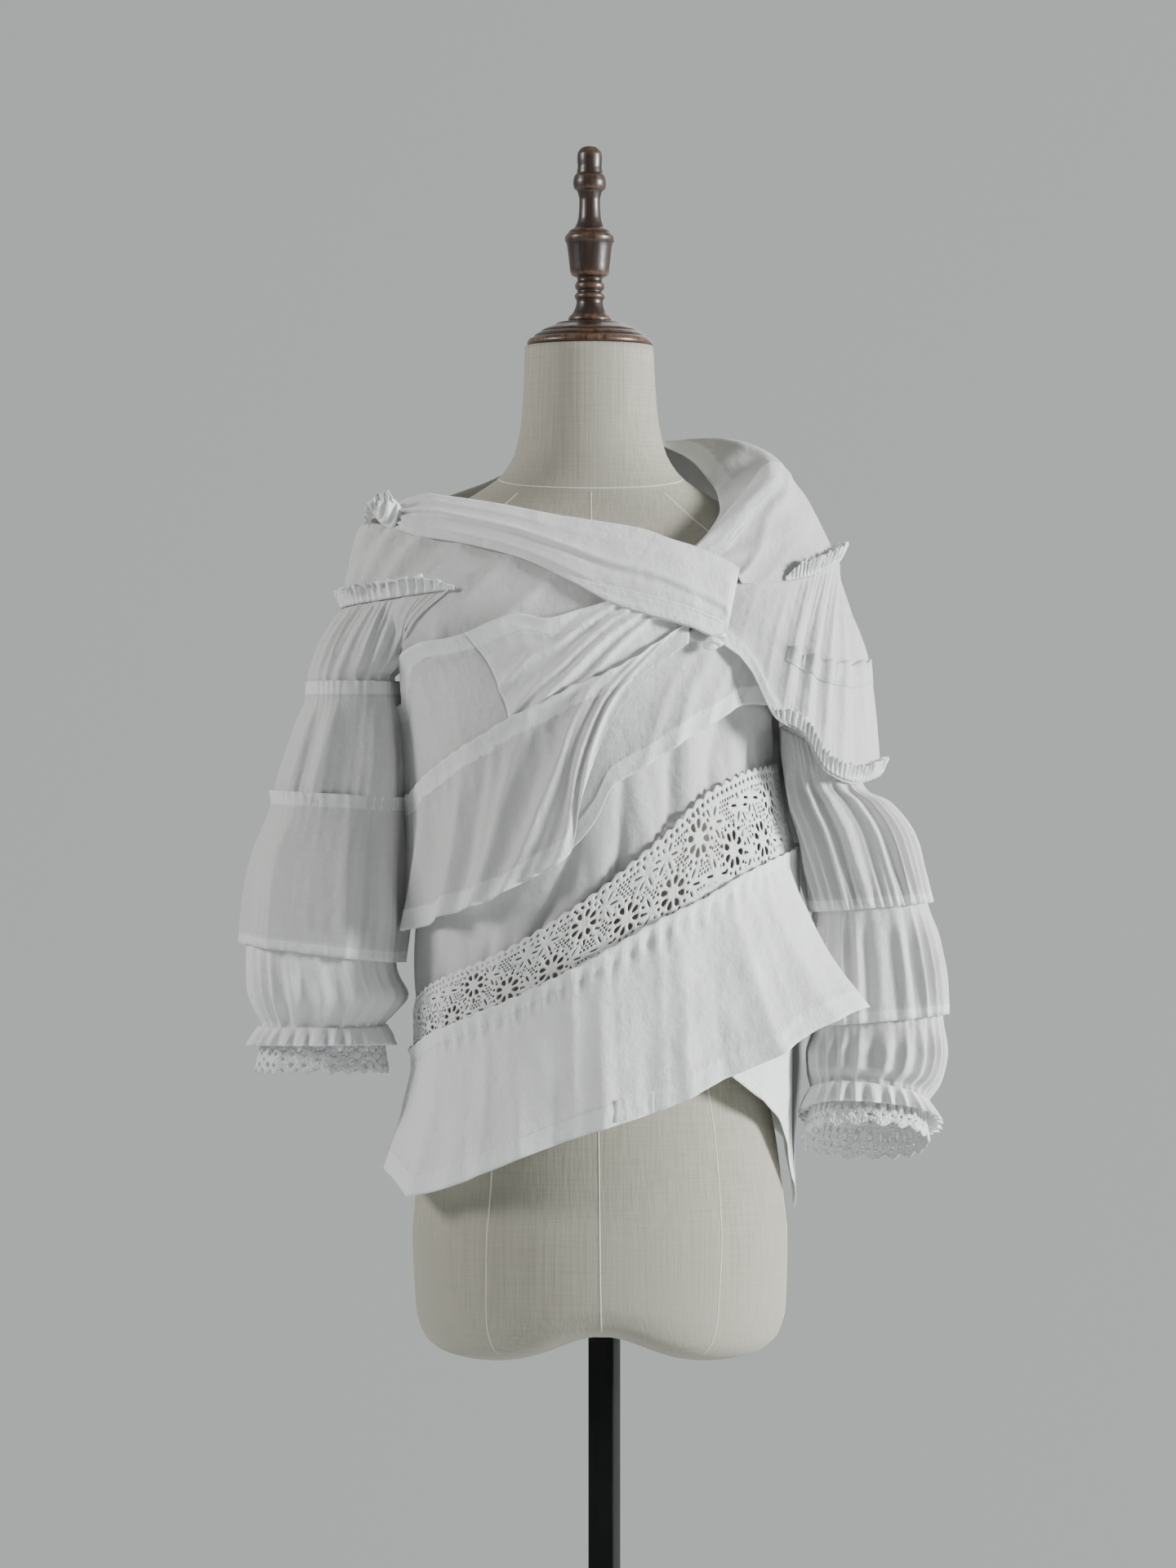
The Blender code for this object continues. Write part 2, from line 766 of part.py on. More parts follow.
def build_chest_panels():
    """Two panels under the sash that meet in a slanted seam."""
    edges = table(
        "angle top bottom",
        (-142, 1240, 1176),
        (-129, 1232, 1168),
        (-110, 1224, 1150),
        (-90, 1221, 1136),
        (-72, 1224, 1140),
        (-66, 1248, 1145),
        (-60, 1262, 1151),
        (-45, 1274, 1170),
        (-38, 1276, 1178),
        (-30, 1281, 1188),
        (-22, 1290, 1200),
        (-15, 1296, 1210),
        (-9, 1292, 1218),
        (0, 1300, 1231),
        (8, 1308, 1243),
        (18, 1310, 1264),
        (26, 1306, 1285),
    )
    gap = math.degrees(SEAM_GAP / 140)
    chest_panel(
        "chest_panel_left", -142, CHEST_EDGE_TOP - gap, 0, CHEST_EDGE_SLANT, edges, SHEER, 0
    )
    chest_panel(
        "chest_panel_right", CHEST_EDGE_TOP + gap, 26, CHEST_EDGE_SLANT, 0, edges, COTTON, 1
    )


# The sash: its two edges in the front view, and how far it stands off the hull
SASH = table(
    "x_up z_up x_low z_low lift",
    (-171, 1391, -171, 1367, 5),
    (-160, 1396, -154, 1361, 4),
    (-145.9, 1398, -133.3, 1357.5, 4),
    (-132, 1395.6, -113.4, 1353.7, 4),
    (-86, 1387.6, -69.5, 1341.8, 5),
    (-40, 1378, -26.8, 1322, 7.5),
    (-6.3, 1372.5, 10.2, 1302, 9),
    (30.6, 1366, 54.4, 1288.7, 11),
    (54.4, 1357.3, 72.2, 1283.4, 12),
    (76.2, 1350.7, 86.7, 1276.8, 10.4),
    (96.6, 1342, 94.6, 1273.5, 10.4),
    (109.8, 1334, 97.3, 1271.5, 10.4),
)
SASH_CROWN = 4.0
SASH_RIDGE = 2.5
SASH_COLUMNS = 23
SASH_ROWS = 6


def sash_points(along, across, lift):
    """Points of the sash: along from the knot to the seam, across from top to bottom."""
    rows = np.arange(len(SASH["lift"]), dtype=float)
    at = along * rows[-1]
    x_up, z_up, x_low, z_low, base = (smooth(at, rows, c) for c in SASH.values())
    x, z = x_up + (x_low - x_up) * across, z_up + (z_low - z_up) * across
    crown = SASH_CROWN * np.sin(np.pi * across) ** 0.7
    ridge = SASH_RIDGE * np.exp(-(((across - 0.35 - 0.4 * along) / 0.14) ** 2))
    return on_front(x, z, base + crown + ridge + lift)


def build_sash():
    """The folded sash, with the stitched band along its lower edge."""
    along = np.linspace(0, 1, SASH_COLUMNS)[None, :]
    across = np.linspace(0, 1, SASH_ROWS)[:, None]
    along, across = np.broadcast_arrays(along, across)
    wall("sash", sash_points(along, across, 0.0), COTTON)
    along = np.linspace(0.44, 0.985, 15)[None, :]
    top = 0.95 - 0.2 * np.clip((along - 0.44) / 0.12, 0, 1)
    across = top + (0.985 - top) * np.linspace(0, 1, 3)[:, None]
    along, across = np.broadcast_arrays(along, across)
    wall("sash_band", sash_points(along, across, 1.7), COTTON)


def lobed_ball(name, centre, radii, lobes, depth, tilt, finish):
    """A small bunch of cloth: an egg whose sides are fluted."""
    rows, columns = 6, 4 * lobes
    up = np.linspace(0.12, np.pi - 0.12, rows)[:, None]
    turn = np.linspace(0, 2 * np.pi, columns, endpoint=False)[None, :]
    flute = 1 + depth * np.sin(up) * np.cos(lobes * turn)
    x = radii[0] * np.sin(up) * np.sin(turn) * flute
    y = -radii[1] * np.sin(up) * np.cos(turn) * flute
    z = radii[2] * np.cos(up) + 0 * turn
    lean = math.radians(tilt)
    place = [x * math.cos(lean) + z * math.sin(lean), y, z * math.cos(lean) - x * math.sin(lean)]
    capped_tube(name, np.stack(place, -1) + np.array(centre), finish)


# The right yoke and collar: sections from the back of the neck round to the sash
YOKE_SECTIONS = (
    ((-64, 44, 1437), (-65, 47, 1439), (-67, 53, 1433), (-70, 60, 1424)),
    ((-30, 56.2, 1441), (-30, 62, 1446), (-30, 72, 1438), (-30, 82, 1416)),
    ((10, 55.4, 1443), (14, 66, 1449), (18, 78, 1440), (22, 90, 1405)),
    ((40, 50, 1444), (52, 66, 1448), (72, 84, 1428), (95, 98, 1385)),
    ((60, 32, 1437), (84, 46, 1448), (125, 70, 1412), (150, 86, 1350)),
    ((74, 12, 1427), (102, 24, 1447), (150, 40, 1408), (182, 56, 1343)),
    ((86, -8, 1411), (120, 6, 1441), (160, 10, 1406), (194, 16, 1344)),
    ((93, -24, 1399), (137, -8, 1429), (168, -12, 1390), (195, -12, 1343)),
    ((95, -47, 1384), (138, -32, 1412), (163, -40, 1370), (184, -42, 1335)),
    ((86, -68, 1366), (114, -60, 1384), (138, -66, 1352), (161, -64, 1326)),
    ((74, -85, 1353), (94, -80, 1358), (114, -82, 1341), (134, -80, 1322)),
    ((62, -91, 1345), (80, -89, 1347), (98, -91, 1334), (112, -92, 1321)),
)

YOKE_ROWS = 23
YOKE_ROW_OVER_ARM = 6


def yoke_points():
    """The grid of the collar and yoke, from the back of the neck to the sash."""
    return blend_rows(YOKE_SECTIONS, YOKE_ROWS, 7)


def build_right_yoke():
    """The standing collar and yoke that lie over the right shoulder."""
    wall("right_yoke", yoke_points(), SHEER)


# The cap over the right arm: rows from its top seam to its bottom gather
CAP_MIDDLE = (
    (105, -101, 1297),
    (126, -98, 1285),
    (149, -92, 1270),
    (168, -84, 1262),
    (186, -70, 1257),
    (204, -44, 1256),
    (218, -2, 1258),
    (206, 44, 1256),
    (180, 72, 1254),
    (148, 98, 1262),
    (112, 116, 1272),
)
CAP_BOTTOM = (
    (99, -110, 1272),
    (118, -100, 1250),
    (139, -94, 1211),
    (160, -88, 1199),
    (182, -76, 1167),
    (206, -52, 1158),
    (230, -4, 1165),
    (212, 48, 1158),
    (182, 78, 1166),
    (146, 104, 1198),
    (112, 117, 1232),
)
CAP_ROWS = 6
CAP_COLUMNS = 29
CAP_FOLDS = 10
CAP_FOLD_DEPTH = 2.5


def cap_points(columns, folded=True):
    """The cap's grid: its top row follows the yoke's outer edge."""
    top = resample(yoke_points()[YOKE_ROW_OVER_ARM:, -1][::-1], columns) - np.array([0, 0, 1.3])
    at = np.linspace(0, len(CAP_MIDDLE) - 1, columns)
    knots = np.arange(len(CAP_MIDDLE), dtype=float)
    rows = [top]
    for control in (CAP_MIDDLE, CAP_BOTTOM):
        control = np.array(control, float)
        rows.append(np.stack([smooth(at, knots, control[:, k]) for k in range(3)], -1))
    grid = blend_rows(rows, CAP_ROWS, columns)
    if not folded:
        return grid
    along = np.linspace(0, 1, columns)[None, :]
    down = np.linspace(0, 1, CAP_ROWS)[:, None]
    wave = np.cos(2 * np.pi * CAP_FOLDS * along)
    depth = CAP_FOLD_DEPTH * wave * np.clip((along - 0.22) / 0.1, 0, 1)
    depth = depth * np.sin(np.pi * down) * np.clip((1 - along) / 0.1, 0, 1)
    return grid + depth[..., None] * wall_normals(grid, False)


def frilled(line, outward, up, height, lean, waves, depth, rows=2):
    """A gathered strip on a line: waves grow from nothing at the line to its free edge."""
    columns = len(line)
    share = np.linspace(1, 0, rows)[:, None, None]
    phase = np.arange(columns)[:, None] * (2 * np.pi * waves / (columns - 1))
    swing = lean * share + depth * share * np.cos(phase)
    return line + up * height * share + outward * swing


def ruffle(name, line, outward, height, lean, waves, depth, finish):
    """A frilled strip that stands up from a seam line."""
    up = np.array([0.0, 0.0, 1.0])
    wall(name, frilled(line, outward, up, height, lean, waves, depth), finish)


def resample(line, count):
    """Points at even steps along a line of points."""
    run = np.concatenate([[0], np.cumsum(np.linalg.norm(np.diff(line, axis=0), axis=1))])
    at = np.linspace(0, run[-1], count)
    return np.stack([np.interp(at, run, line[:, k]) for k in range(3)], -1)


def flat_outward(line):
    """Unit vectors square to a line, level, on its outer side."""
    run = np.gradient(line, axis=0)
    return unit(np.stack([run[:, 1], -run[:, 0], np.zeros(len(line))], -1))


RUFFLE_HEIGHT = 15.0
RUFFLE_DEPTH = 2.6


def build_cap_and_ruffles():
    """The cap over the right arm, with a ruffle at its foot and one at its shoulder."""
    wall("cap_right", cap_points(CAP_COLUMNS), SHEER)
    plain = cap_points(61, False)
    line = resample(plain[-1, 21:50], 49)
    outward = flat_outward(line)
    line = line + outward * 1.7 + np.array([0, 0, 2.0])
    ruffle("ruffle_right_arm", line, outward, RUFFLE_HEIGHT, 4.0, 24, RUFFLE_DEPTH, COTTON)
    line = resample(plain[0, 16:46], 41)
    outward = flat_outward(line)
    line = line + outward * 1.7
    ruffle("ruffle_right_shoulder", line, outward, RUFFLE_HEIGHT, 7.0, 20, RUFFLE_DEPTH, COTTON)


SQUARENESS = 0.82


def oval(levels, columns, waves=0):
    """Rings of a sleeve: squared ovals that may tilt, with gathers of the given depth."""
    turn = np.linspace(0, 2 * np.pi, columns, endpoint=False)
    level = {key: column[:, None] for key, column in levels.items()}
    side, fore = np.sin(turn)[None, :], -np.cos(turn)[None, :]
    out_x = np.sign(side) * np.abs(side) ** SQUARENESS
    out_y = np.sign(fore) * np.abs(fore) ** SQUARENESS
    depth = level["gather"] * np.cos(waves * turn[None, :]) if waves else 0.0
    half = (level["right"] - level["left"]) / 2
    x = (level["right"] + level["left"]) / 2 + (half + depth) * out_x
    reach = np.where(out_y < 0, level["front"], level["back"])
    y = (reach + depth) * out_y
    z = level["z"] + level["tilt_x"] * out_x + level["tilt_y"] * out_y
    return np.stack(np.broadcast_arrays(x, y, z), -1)


def sleeve_piece(name, levels, columns, waves, finish):
    """One tube of a sleeve, gathered in a number of waves."""
    wall(name, oval(levels, columns, waves), finish, closed=True)


def open_oval(level, turn):
    """Part of one level ring of a sleeve, from its inner back round to its inner front."""
    turn = np.radians(turn)
    side, fore = -np.cos(turn), np.sin(turn)
    out_x = np.sign(side) * np.abs(side) ** SQUARENESS
    out_y = -np.sign(fore) * np.abs(fore) ** SQUARENESS
    x = (level["right"] + level["left"]) / 2 + (level["right"] - level["left"]) / 2 * out_x
    y = np.where(out_y < 0, level["front"], level["back"]) * out_y
    return np.stack([x, y, np.full(len(x), level["z"])], -1)


SLEEVE_HEADER = "z left right front back tilt_x tilt_y gather"


def build_left_sleeve_top():
    """The gathered head, open towards the bodice, and the ruffle on its seam."""
    seam = table("angle z", (-147, 1311), (-120, 1304), (-90, 1302), (-60, 1306), (-34, 1314))
    columns = 31
    angle = np.linspace(-147, -34, columns)
    head = hull(angle, read(seam, "angle", "z", angle) + 2.5, 1.7)
    level = {"left": -246.0, "right": -179.5, "front": 61.0, "back": 62.0, "z": 1248.0}
    foot = open_oval(level, np.linspace(-140, 126, columns))
    down = np.array([0, 0.33, 0.67, 1])[:, None, None]
    grid = head * (1 - down) + foot * down
    gather = np.cos(np.pi * np.arange(columns))[None, :, None]
    puff = 4.0 * np.sin(np.pi * down) + 5.0 * gather * (1 - down) * down
    grid = grid + puff * wall_normals(grid, False)
    grid = np.concatenate([grid, foot[None] - np.array([0, 0, 17.0])])
    wall("sleeve_left_top", clear_of_hull(grid, 2.5), SHEER)
    angle = np.linspace(-148, -32, 61)
    line = hull(angle, read(seam, "angle", "z", angle) + 1.7, 4.9)
    ruffle("ruffle_left", line, flat_outward(line), RUFFLE_HEIGHT, 3.5, 30, 2.2, COTTON)


def build_left_sleeve():
    """The left sleeve below its head: two tiers, a puff, a frill and a crochet edge."""
    middle = table(
        SLEEVE_HEADER,
        (1243, -248, -177.5, 63, 64, 0, 0, 0.2),
        (1230, -248, -177.5, 63, 64, 0, 0, 0),
        (1205, -256, -176, 64, 66, -1, 0, 1.6),
        (1170, -267, -174, 64, 66, -2, 0, 2.0),
        (1134, -276, -175, 62, 64, -3, 0, 0.4),
    )
    sleeve_piece("sleeve_left_middle", middle, 24, 12, SHEER)
    flounce = table(
        SLEEVE_HEADER,
        (1150, -278.5, -171.5, 65.5, 67.5, -3, 0, 0.6),
        (1139, -277.2, -172.9, 64.2, 66.2, -3, 0, 0.2),
        (1095, -292, -172, 70, 72, -4, 0, 2.2),
        (1058, -300, -171, 72, 74, -6, 0, 2.6),
        (1018, -303, -169, 71, 73, -8, 0, 2.6),
    )
    sleeve_piece("sleeve_left_flounce", flounce, 24, 12, COTTON)
    puff = table(
        SLEEVE_HEADER,
        (1040, -297, -176, 65, 67, -4, 0, 0.5),
        (1010, -297.5, -174, 66, 67, -6, 0, 1.0),
        (985, -296, -166.5, 64, 65, -2, 0, 2.2),
        (967, -289, -178, 53, 55, -1, 0, 1.6),
        (959, -285, -183, 48, 50, 0, 0, 0.3),
        (954, -285, -183, 48, 50, 0, 0, 0),
    )
    sleeve_piece("sleeve_left_puff", puff, 28, 14, COTTON)
    frill = table(
        SLEEVE_HEADER,
        (957.5, -286.9, -181.1, 49.9, 51.9, 0, 0, 0.0),
        (941, -296, -176, 57, 59, 0, -2, 2.8),
    )
    cuff = table(
        SLEEVE_HEADER,
        (957, -282.8, -185.2, 45.8, 47.8, 0, 0, 0.0),
        (921, -290, -180, 51, 53, 0, -2, 0.0),
    )
    return frill, cuff


def scalloped(name, levels, columns, scallops, drop, finish):
    """A ring of edging whose bottom row drops in scallops."""
    grid = oval(levels, columns)
    turn = np.linspace(0, 1, columns, endpoint=False)
    grid[-1, :, 2] -= drop * np.abs(np.sin(np.pi * scallops * turn))
    wall(name, grid, finish, closed=True)


def build_right_sleeve():
    """The right sleeve: a head under the cap, two shingled tiers, a puff and its edges."""
    upper = table(
        SLEEVE_HEADER,
        (1188, 141, 203, 60, 44, 0, 0, 0.3),
        (1168, 141, 213, 62, 48, 0, 0, 0.3),
        (1157, 141, 218, 62, 50, 0, 0, 0.6),
        (1142, 142, 239, 66, 67, 0, 0, 1.6),
        (1118, 150, 257, 62, 76, 0, 0, 2.2),
        (1084, 162, 267, 54, 82, 2, 0, 2.0),
        (1056, 170.5, 273, 52, 84, 4, 0, 0.4),
    )
    grid = clear_of_hull(oval(upper, 24, 12), 12.0)
    wall("sleeve_right_upper", grid, SHEER, closed=True)
    middle = table(
        SLEEVE_HEADER,
        (1068, 173.5, 266.5, 48.5, 80.5, 4, 0, 0.2),
        (1053, 173.5, 269, 48.5, 80.5, 4, 0, 0.3),
        (1025, 171, 277, 45, 84, 3, 0, 1.8),
        (995, 169.5, 283, 42, 87, 4, 0, 2.4),
        (962, 168.5, 286, 42, 89, 5, 0, 1.2),
    )
    sleeve_piece("sleeve_right_middle", middle, 24, 12, SHEER)
    puff = table(
        SLEEVE_HEADER,
        (976, 172.5, 279, 37.5, 84, 5, 0, 0.3),
        (957, 172.3, 282, 38.2, 85, 5, 0, 0.3),
        (935, 169.5, 284, 44, 86, 0, -3, 2.2),
        (914, 170, 279, 44, 76, -4, -10, 1.8),
        (899, 172, 269, 37, 61, -6, -16, 0.3),
        (892, 172, 269, 37, 61, -6, -16, 0),
    )
    sleeve_piece("sleeve_right_puff", puff, 28, 14, SHEER)
    frill = table(
        SLEEVE_HEADER,
        (895.5, 170.1, 270.9, 38.9, 62.9, -6, -16, 0.0),
        (878, 164, 280, 45, 69, -5, -18, 2.8),
    )
    cuff = table(
        SLEEVE_HEADER,
        (895, 174.3, 266.7, 34.7, 58.7, -6, -16, 0.0),
        (862, 165, 270, 41, 63, -2, -18, 0.0),
    )
    return frill, cuff


def build_cuffs(side, frill, cuff):
    """The small frill at a wrist and the crochet edge that hangs inside it."""
    sleeve_piece(f"frill_{side}", frill, 40, 20, COTTON)
    scalloped(f"crochet_{side}", cuff, 32, 8, 4.0, LACE)


def build_small_pieces():
    """The knot and the tied end of the sash, and the patch on the hem."""
    lobed_ball("knot", (-183.2, -45, 1386), (12, 10, 12), 5, 0.12, 20, COTTON)
    lobed_ball("sash_end", (91, -118.8, 1272), (7, 5, 8), 3, 0.1, 30, COTTON)
    edges = table("angle top bottom", (3.5, 904, 884.5), (14, 910, 890.5))
    angle = panel_angles(3.5, 14, 3.0)[None, :]
    share = np.array([0, 0.5, 1])[:, None]
    top, bottom = read(edges, "angle", "top", angle), read(edges, "angle", "bottom", angle)
    flare = read(PEPLUM_EDGES, "angle", "flare", angle)
    lift = 7.0 + flare + 3.2
    wall("hem_patch", hull(angle, top + (bottom - top) * share, lift + 0 * share), COTTON)


def build_stand():
    """The square base plate and the pole that carries the torso."""
    square_block("base_plate", BASE_SIDE, 0.0, BASE_THICK, 0.0, BLACK_STEEL)
    low = BASE_THICK + SEAM_GAP
    high = SOCKET_HEIGHT - SEAM_GAP
    square_block("pole", POLE_SIDE, low, high, POLE_TURN, BLACK_STEEL)


def main():
    build_form_body()
    turned("neck_cap", CAP, WALNUT)
    turned("finial", FINIAL, WALNUT)
    build_stand()
    build_front_yoke()
    build_back_bodice()
    build_chest_panels()
    build_tiers()
    build_under_panels()
    lace_panel("lace_front", -90 + SLIP, 90 - SLIP)
    lace_panel("lace_back", 90 + SLIP, 270 - SLIP)
    build_peplum()
    build_sash()
    build_right_yoke()
    build_cap_and_ruffles()
    build_left_sleeve_top()
    build_cuffs("left", *build_left_sleeve())
    build_cuffs("right", *build_right_sleeve())
    build_small_pieces()


main()
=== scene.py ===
import math

import bpy
import numpy as np
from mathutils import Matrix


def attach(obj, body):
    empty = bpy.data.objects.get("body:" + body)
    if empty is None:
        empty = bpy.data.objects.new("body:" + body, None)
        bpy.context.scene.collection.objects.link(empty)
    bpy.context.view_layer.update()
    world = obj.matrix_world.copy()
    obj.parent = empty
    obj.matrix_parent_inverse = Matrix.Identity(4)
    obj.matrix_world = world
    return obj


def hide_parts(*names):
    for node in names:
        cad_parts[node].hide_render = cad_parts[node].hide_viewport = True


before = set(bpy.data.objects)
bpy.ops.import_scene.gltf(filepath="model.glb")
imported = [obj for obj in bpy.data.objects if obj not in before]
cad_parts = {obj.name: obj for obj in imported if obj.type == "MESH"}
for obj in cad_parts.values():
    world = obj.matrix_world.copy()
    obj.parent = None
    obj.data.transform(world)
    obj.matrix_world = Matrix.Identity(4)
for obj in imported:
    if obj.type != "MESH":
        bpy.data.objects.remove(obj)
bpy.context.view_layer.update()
scene = bpy.context.scene

# The view: a level camera four metres in front of the form, as the photograph
# was taken, with a long lens so that the form and its finial fill the frame.
LENS_MM = 110.3
EYE_M = (-0.0136, -4.0, 1.158)

lens = bpy.data.cameras.new("front_view")
lens.sensor_fit = "VERTICAL"
lens.sensor_height = 36.0
lens.lens = LENS_MM
lens.clip_end = 100.0
viewer = bpy.data.objects.new("front_view", lens)
viewer.location = EYE_M
viewer.rotation_euler = (math.pi / 2, 0, 0)
scene.collection.objects.link(viewer)
scene.camera = viewer


# The stand: a square steel base plate and a square steel pole, both painted
# satin black. The plate's edges are eased and its corners rounded; the pole is
# a drawn tube with small corner radii.
BASE_SIDE = 300.0
BASE_CORNER = 9.0
BASE_PROFILE = ((0.0, -1.6), (0.7, -0.5), (1.8, 0.0), (6.2, 0.0), (7.4, -0.5), (8.0, -1.8))
POLE_SIDE = 22.0
POLE_CORNER = 1.6
POLE_TURN = -17.0
POLE_LOW = 8.3
POLE_HIGH = 699.7


def add_node(tree, kind, inputs=(), **settings):
    """One shader node. inputs pairs a socket's name or number with a value or another output."""
    made = tree.nodes.new("ShaderNode" + kind)
    for key, value in settings.items():
        setattr(made, key, value)
    for socket, value in inputs:
        if isinstance(value, bpy.types.NodeSocket):
            tree.links.new(value, made.inputs[socket])
        else:
            made.inputs[socket].default_value = value
    return made.outputs[0]


def maths(tree, operation, first, second=0.0, third=0.0):
    """The output of one Math node."""
    inputs = [(0, first), (1, second)]
    if operation == "MULTIPLY_ADD":
        inputs.append((2, third))
    return add_node(tree, "Math", inputs, operation=operation)


def mixed(tree, share, low, high):
    """A colour that goes from low to high as share goes from 0 to 1."""
    low = (*low, 1.0) if isinstance(low, tuple) else low
    high = (*high, 1.0) if isinstance(high, tuple) else high
    return add_node(tree, "MixRGB", [("Fac", share), ("Color1", low), ("Color2", high)])


def ramp(tree, value, low, high):
    """A value brought from low..high to 0..1, with both ends held."""
    inputs = [("Value", value), ("From Min", low), ("From Max", high)]
    return add_node(tree, "MapRange", inputs, clamp=True)


def new_finish(name, **sockets):
    """A Principled material and its tree. sockets are values set on the shader itself."""
    finish = bpy.data.materials.new(name)
    finish.use_nodes = True
    shader = finish.node_tree.nodes["Principled BSDF"]
    for key, value in sockets.items():
        shader.inputs[key.replace("_", " ")].default_value = value
    return finish, finish.node_tree, shader


def bump(tree, shader, height):
    """Joins a height in metres to the shader's normal."""
    made = add_node(tree, "Bump", [("Height", height), ("Distance", 1.0), ("Strength", 1.0)])
    tree.links.new(made, shader.inputs["Normal"])


def place(tree, scale):
    """Object coordinates stretched by scale."""
    coordinates = tree.nodes.new("ShaderNodeTexCoord").outputs["Object"]
    return add_node(tree, "Mapping", [("Vector", coordinates), ("Scale", scale)])


def noise(tree, vector, scale, detail=3.0, roughness=0.5):
    """Soft noise from 0 to 1."""
    inputs = [("Vector", vector), ("Scale", scale), ("Detail", detail), ("Roughness", roughness)]
    return add_node(tree, "TexNoise", inputs)


def black_steel():
    """Satin black paint with a fine orange peel, made a little paler and duller by dust."""
    finish, tree, shader = new_finish("black_steel", Metallic=0.0, Specular_IOR_Level=0.22)
    peel = noise(tree, place(tree, (1, 1, 1)), 900.0, 2.0)
    dust = noise(tree, place(tree, (1, 1, 0.3)), 28.0, 6.0, 0.65)
    colour = mixed(tree, ramp(tree, dust, 0.5, 0.8), (0.003, 0.003, 0.003), (0.010, 0.010, 0.011))
    tree.links.new(colour, shader.inputs["Base Color"])
    rough = maths(tree, "MULTIPLY_ADD", dust, 0.25, 0.24)
    tree.links.new(rough, shader.inputs["Roughness"])
    bump(tree, shader, maths(tree, "MULTIPLY", peel, 0.00004))
    return finish


def new_piece(name, points, faces, finish, nodes=(), uv=None, values=None):
    """A mesh of millimetre points that rides on the root and stands for CAD nodes."""
    mesh = bpy.data.meshes.new(name)
    mesh.from_pydata((np.asarray(points) * 0.001).tolist(), [], faces)
    mesh.shade_smooth()
    if uv is not None:
        mesh.uv_layers.new(name="cloth").data.foreach_set("uv", uv.astype(np.float32).ravel())
    for key, column in (values or {}).items():
        layer = mesh.attributes.new(key, "FLOAT", "POINT")
        layer.data.foreach_set("value", column.astype(np.float32).ravel())
    mesh.materials.append(finish)
    piece = bpy.data.objects.new(name, mesh)
    scene.collection.objects.link(piece)
    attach(piece, "root")
    if nodes:
        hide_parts(*nodes)
    return piece


def grid_quads(rows, columns, closed):
    """The corner numbers of each cell of a grid of points, turned outwards."""
    across = columns if closed else columns - 1
    i, j = np.meshgrid(np.arange(rows - 1), np.arange(across), indexing="ij")
    k = (j + 1) % columns
    corners = [i * columns + j, (i + 1) * columns + j, (i + 1) * columns + k, i * columns + k]
    return np.stack(corners, -1).reshape(-1, 4)


def stacked_rings(name, rings, finish, nodes, values=None):
    """A closed body of rings of points from top to bottom, with a flat cap at each end."""
    rows, columns = rings.shape[:2]
    faces = grid_quads(rows, columns, True).tolist()
    faces.append(list(range(columns)))
    faces.append(list(range(rows * columns - 1, (rows - 1) * columns - 1, -1)))
    return new_piece(name, rings.reshape(-1, 3), faces, finish, nodes, values=values)


def rounded_square(side, corner, turn, z):
    """A level ring round a square: each corner is an arc about a centre set in by its radius."""
    corners = np.radians(np.array([45.0, 135.0, 225.0, 315.0]))[:, None]
    arc = corners + np.radians(np.linspace(-45, 45, 7))[None, :]
    inset = (side / 2 - corner) * math.sqrt(2)
    x = (inset * np.sin(corners) + corner * np.sin(arc)).ravel()
    y = (-inset * np.cos(corners) - corner * np.cos(arc)).ravel()
    turn = math.radians(turn)
    turned_x = x * math.cos(turn) - y * math.sin(turn)
    turned_y = x * math.sin(turn) + y * math.cos(turn)
    return np.stack([turned_x, turned_y, np.full_like(x, z)], -1)


satin_black = black_steel()
plate = [
    rounded_square(BASE_SIDE + 2 * inset, BASE_CORNER + inset, 0.0, z)
    for z, inset in BASE_PROFILE[::-1]
]
stacked_rings("base_plate_steel", np.array(plate), satin_black, ["base_plate"])
heights = (POLE_HIGH, POLE_HIGH - 1, 500.0, 300.0, 100.0, POLE_LOW + 1, POLE_LOW)
tube = [rounded_square(POLE_SIDE, POLE_CORNER, POLE_TURN, z) for z in heights]
stacked_rings("pole_steel", np.array(tube), satin_black, ["pole"])


# The torso: a padded form covered in natural linen, cut in panels that meet in
# seams down the front, the sides and the back and round the foot of the neck.
FORM_COLUMNS = 112
FORM_STEP = 7.0
FORM_HIGH = 1522.0
FORM_LOW = 680.0
FORM_HIP = 790.0
FORM_MIDDLE = -4.1
FORM_LEAN = 0.0118
LOBE_HEIGHT = 90.0
LOBE_ROWS = 26
SOCKET_RADIUS = 24.0
SOCKET_TOP = 700.0
SEAM_ANGLES = (0.0, 38.0, 90.0, 142.0, 180.0, 218.0, 270.0, 322.0)
SEAM_WIDTH = 1.5
SEAM_HEIGHT = 0.5
SEAM_TOP = 1398.0
SEAM_BOW = 2.5
NECK_SEAM = 1414.0
NECK_SEAM_DIP = 13.0


def table(header, *rows):
    """A dictionary of columns from a header of names and one row for each section."""
    return dict(zip(header.split(), np.array(rows, dtype=float).T))


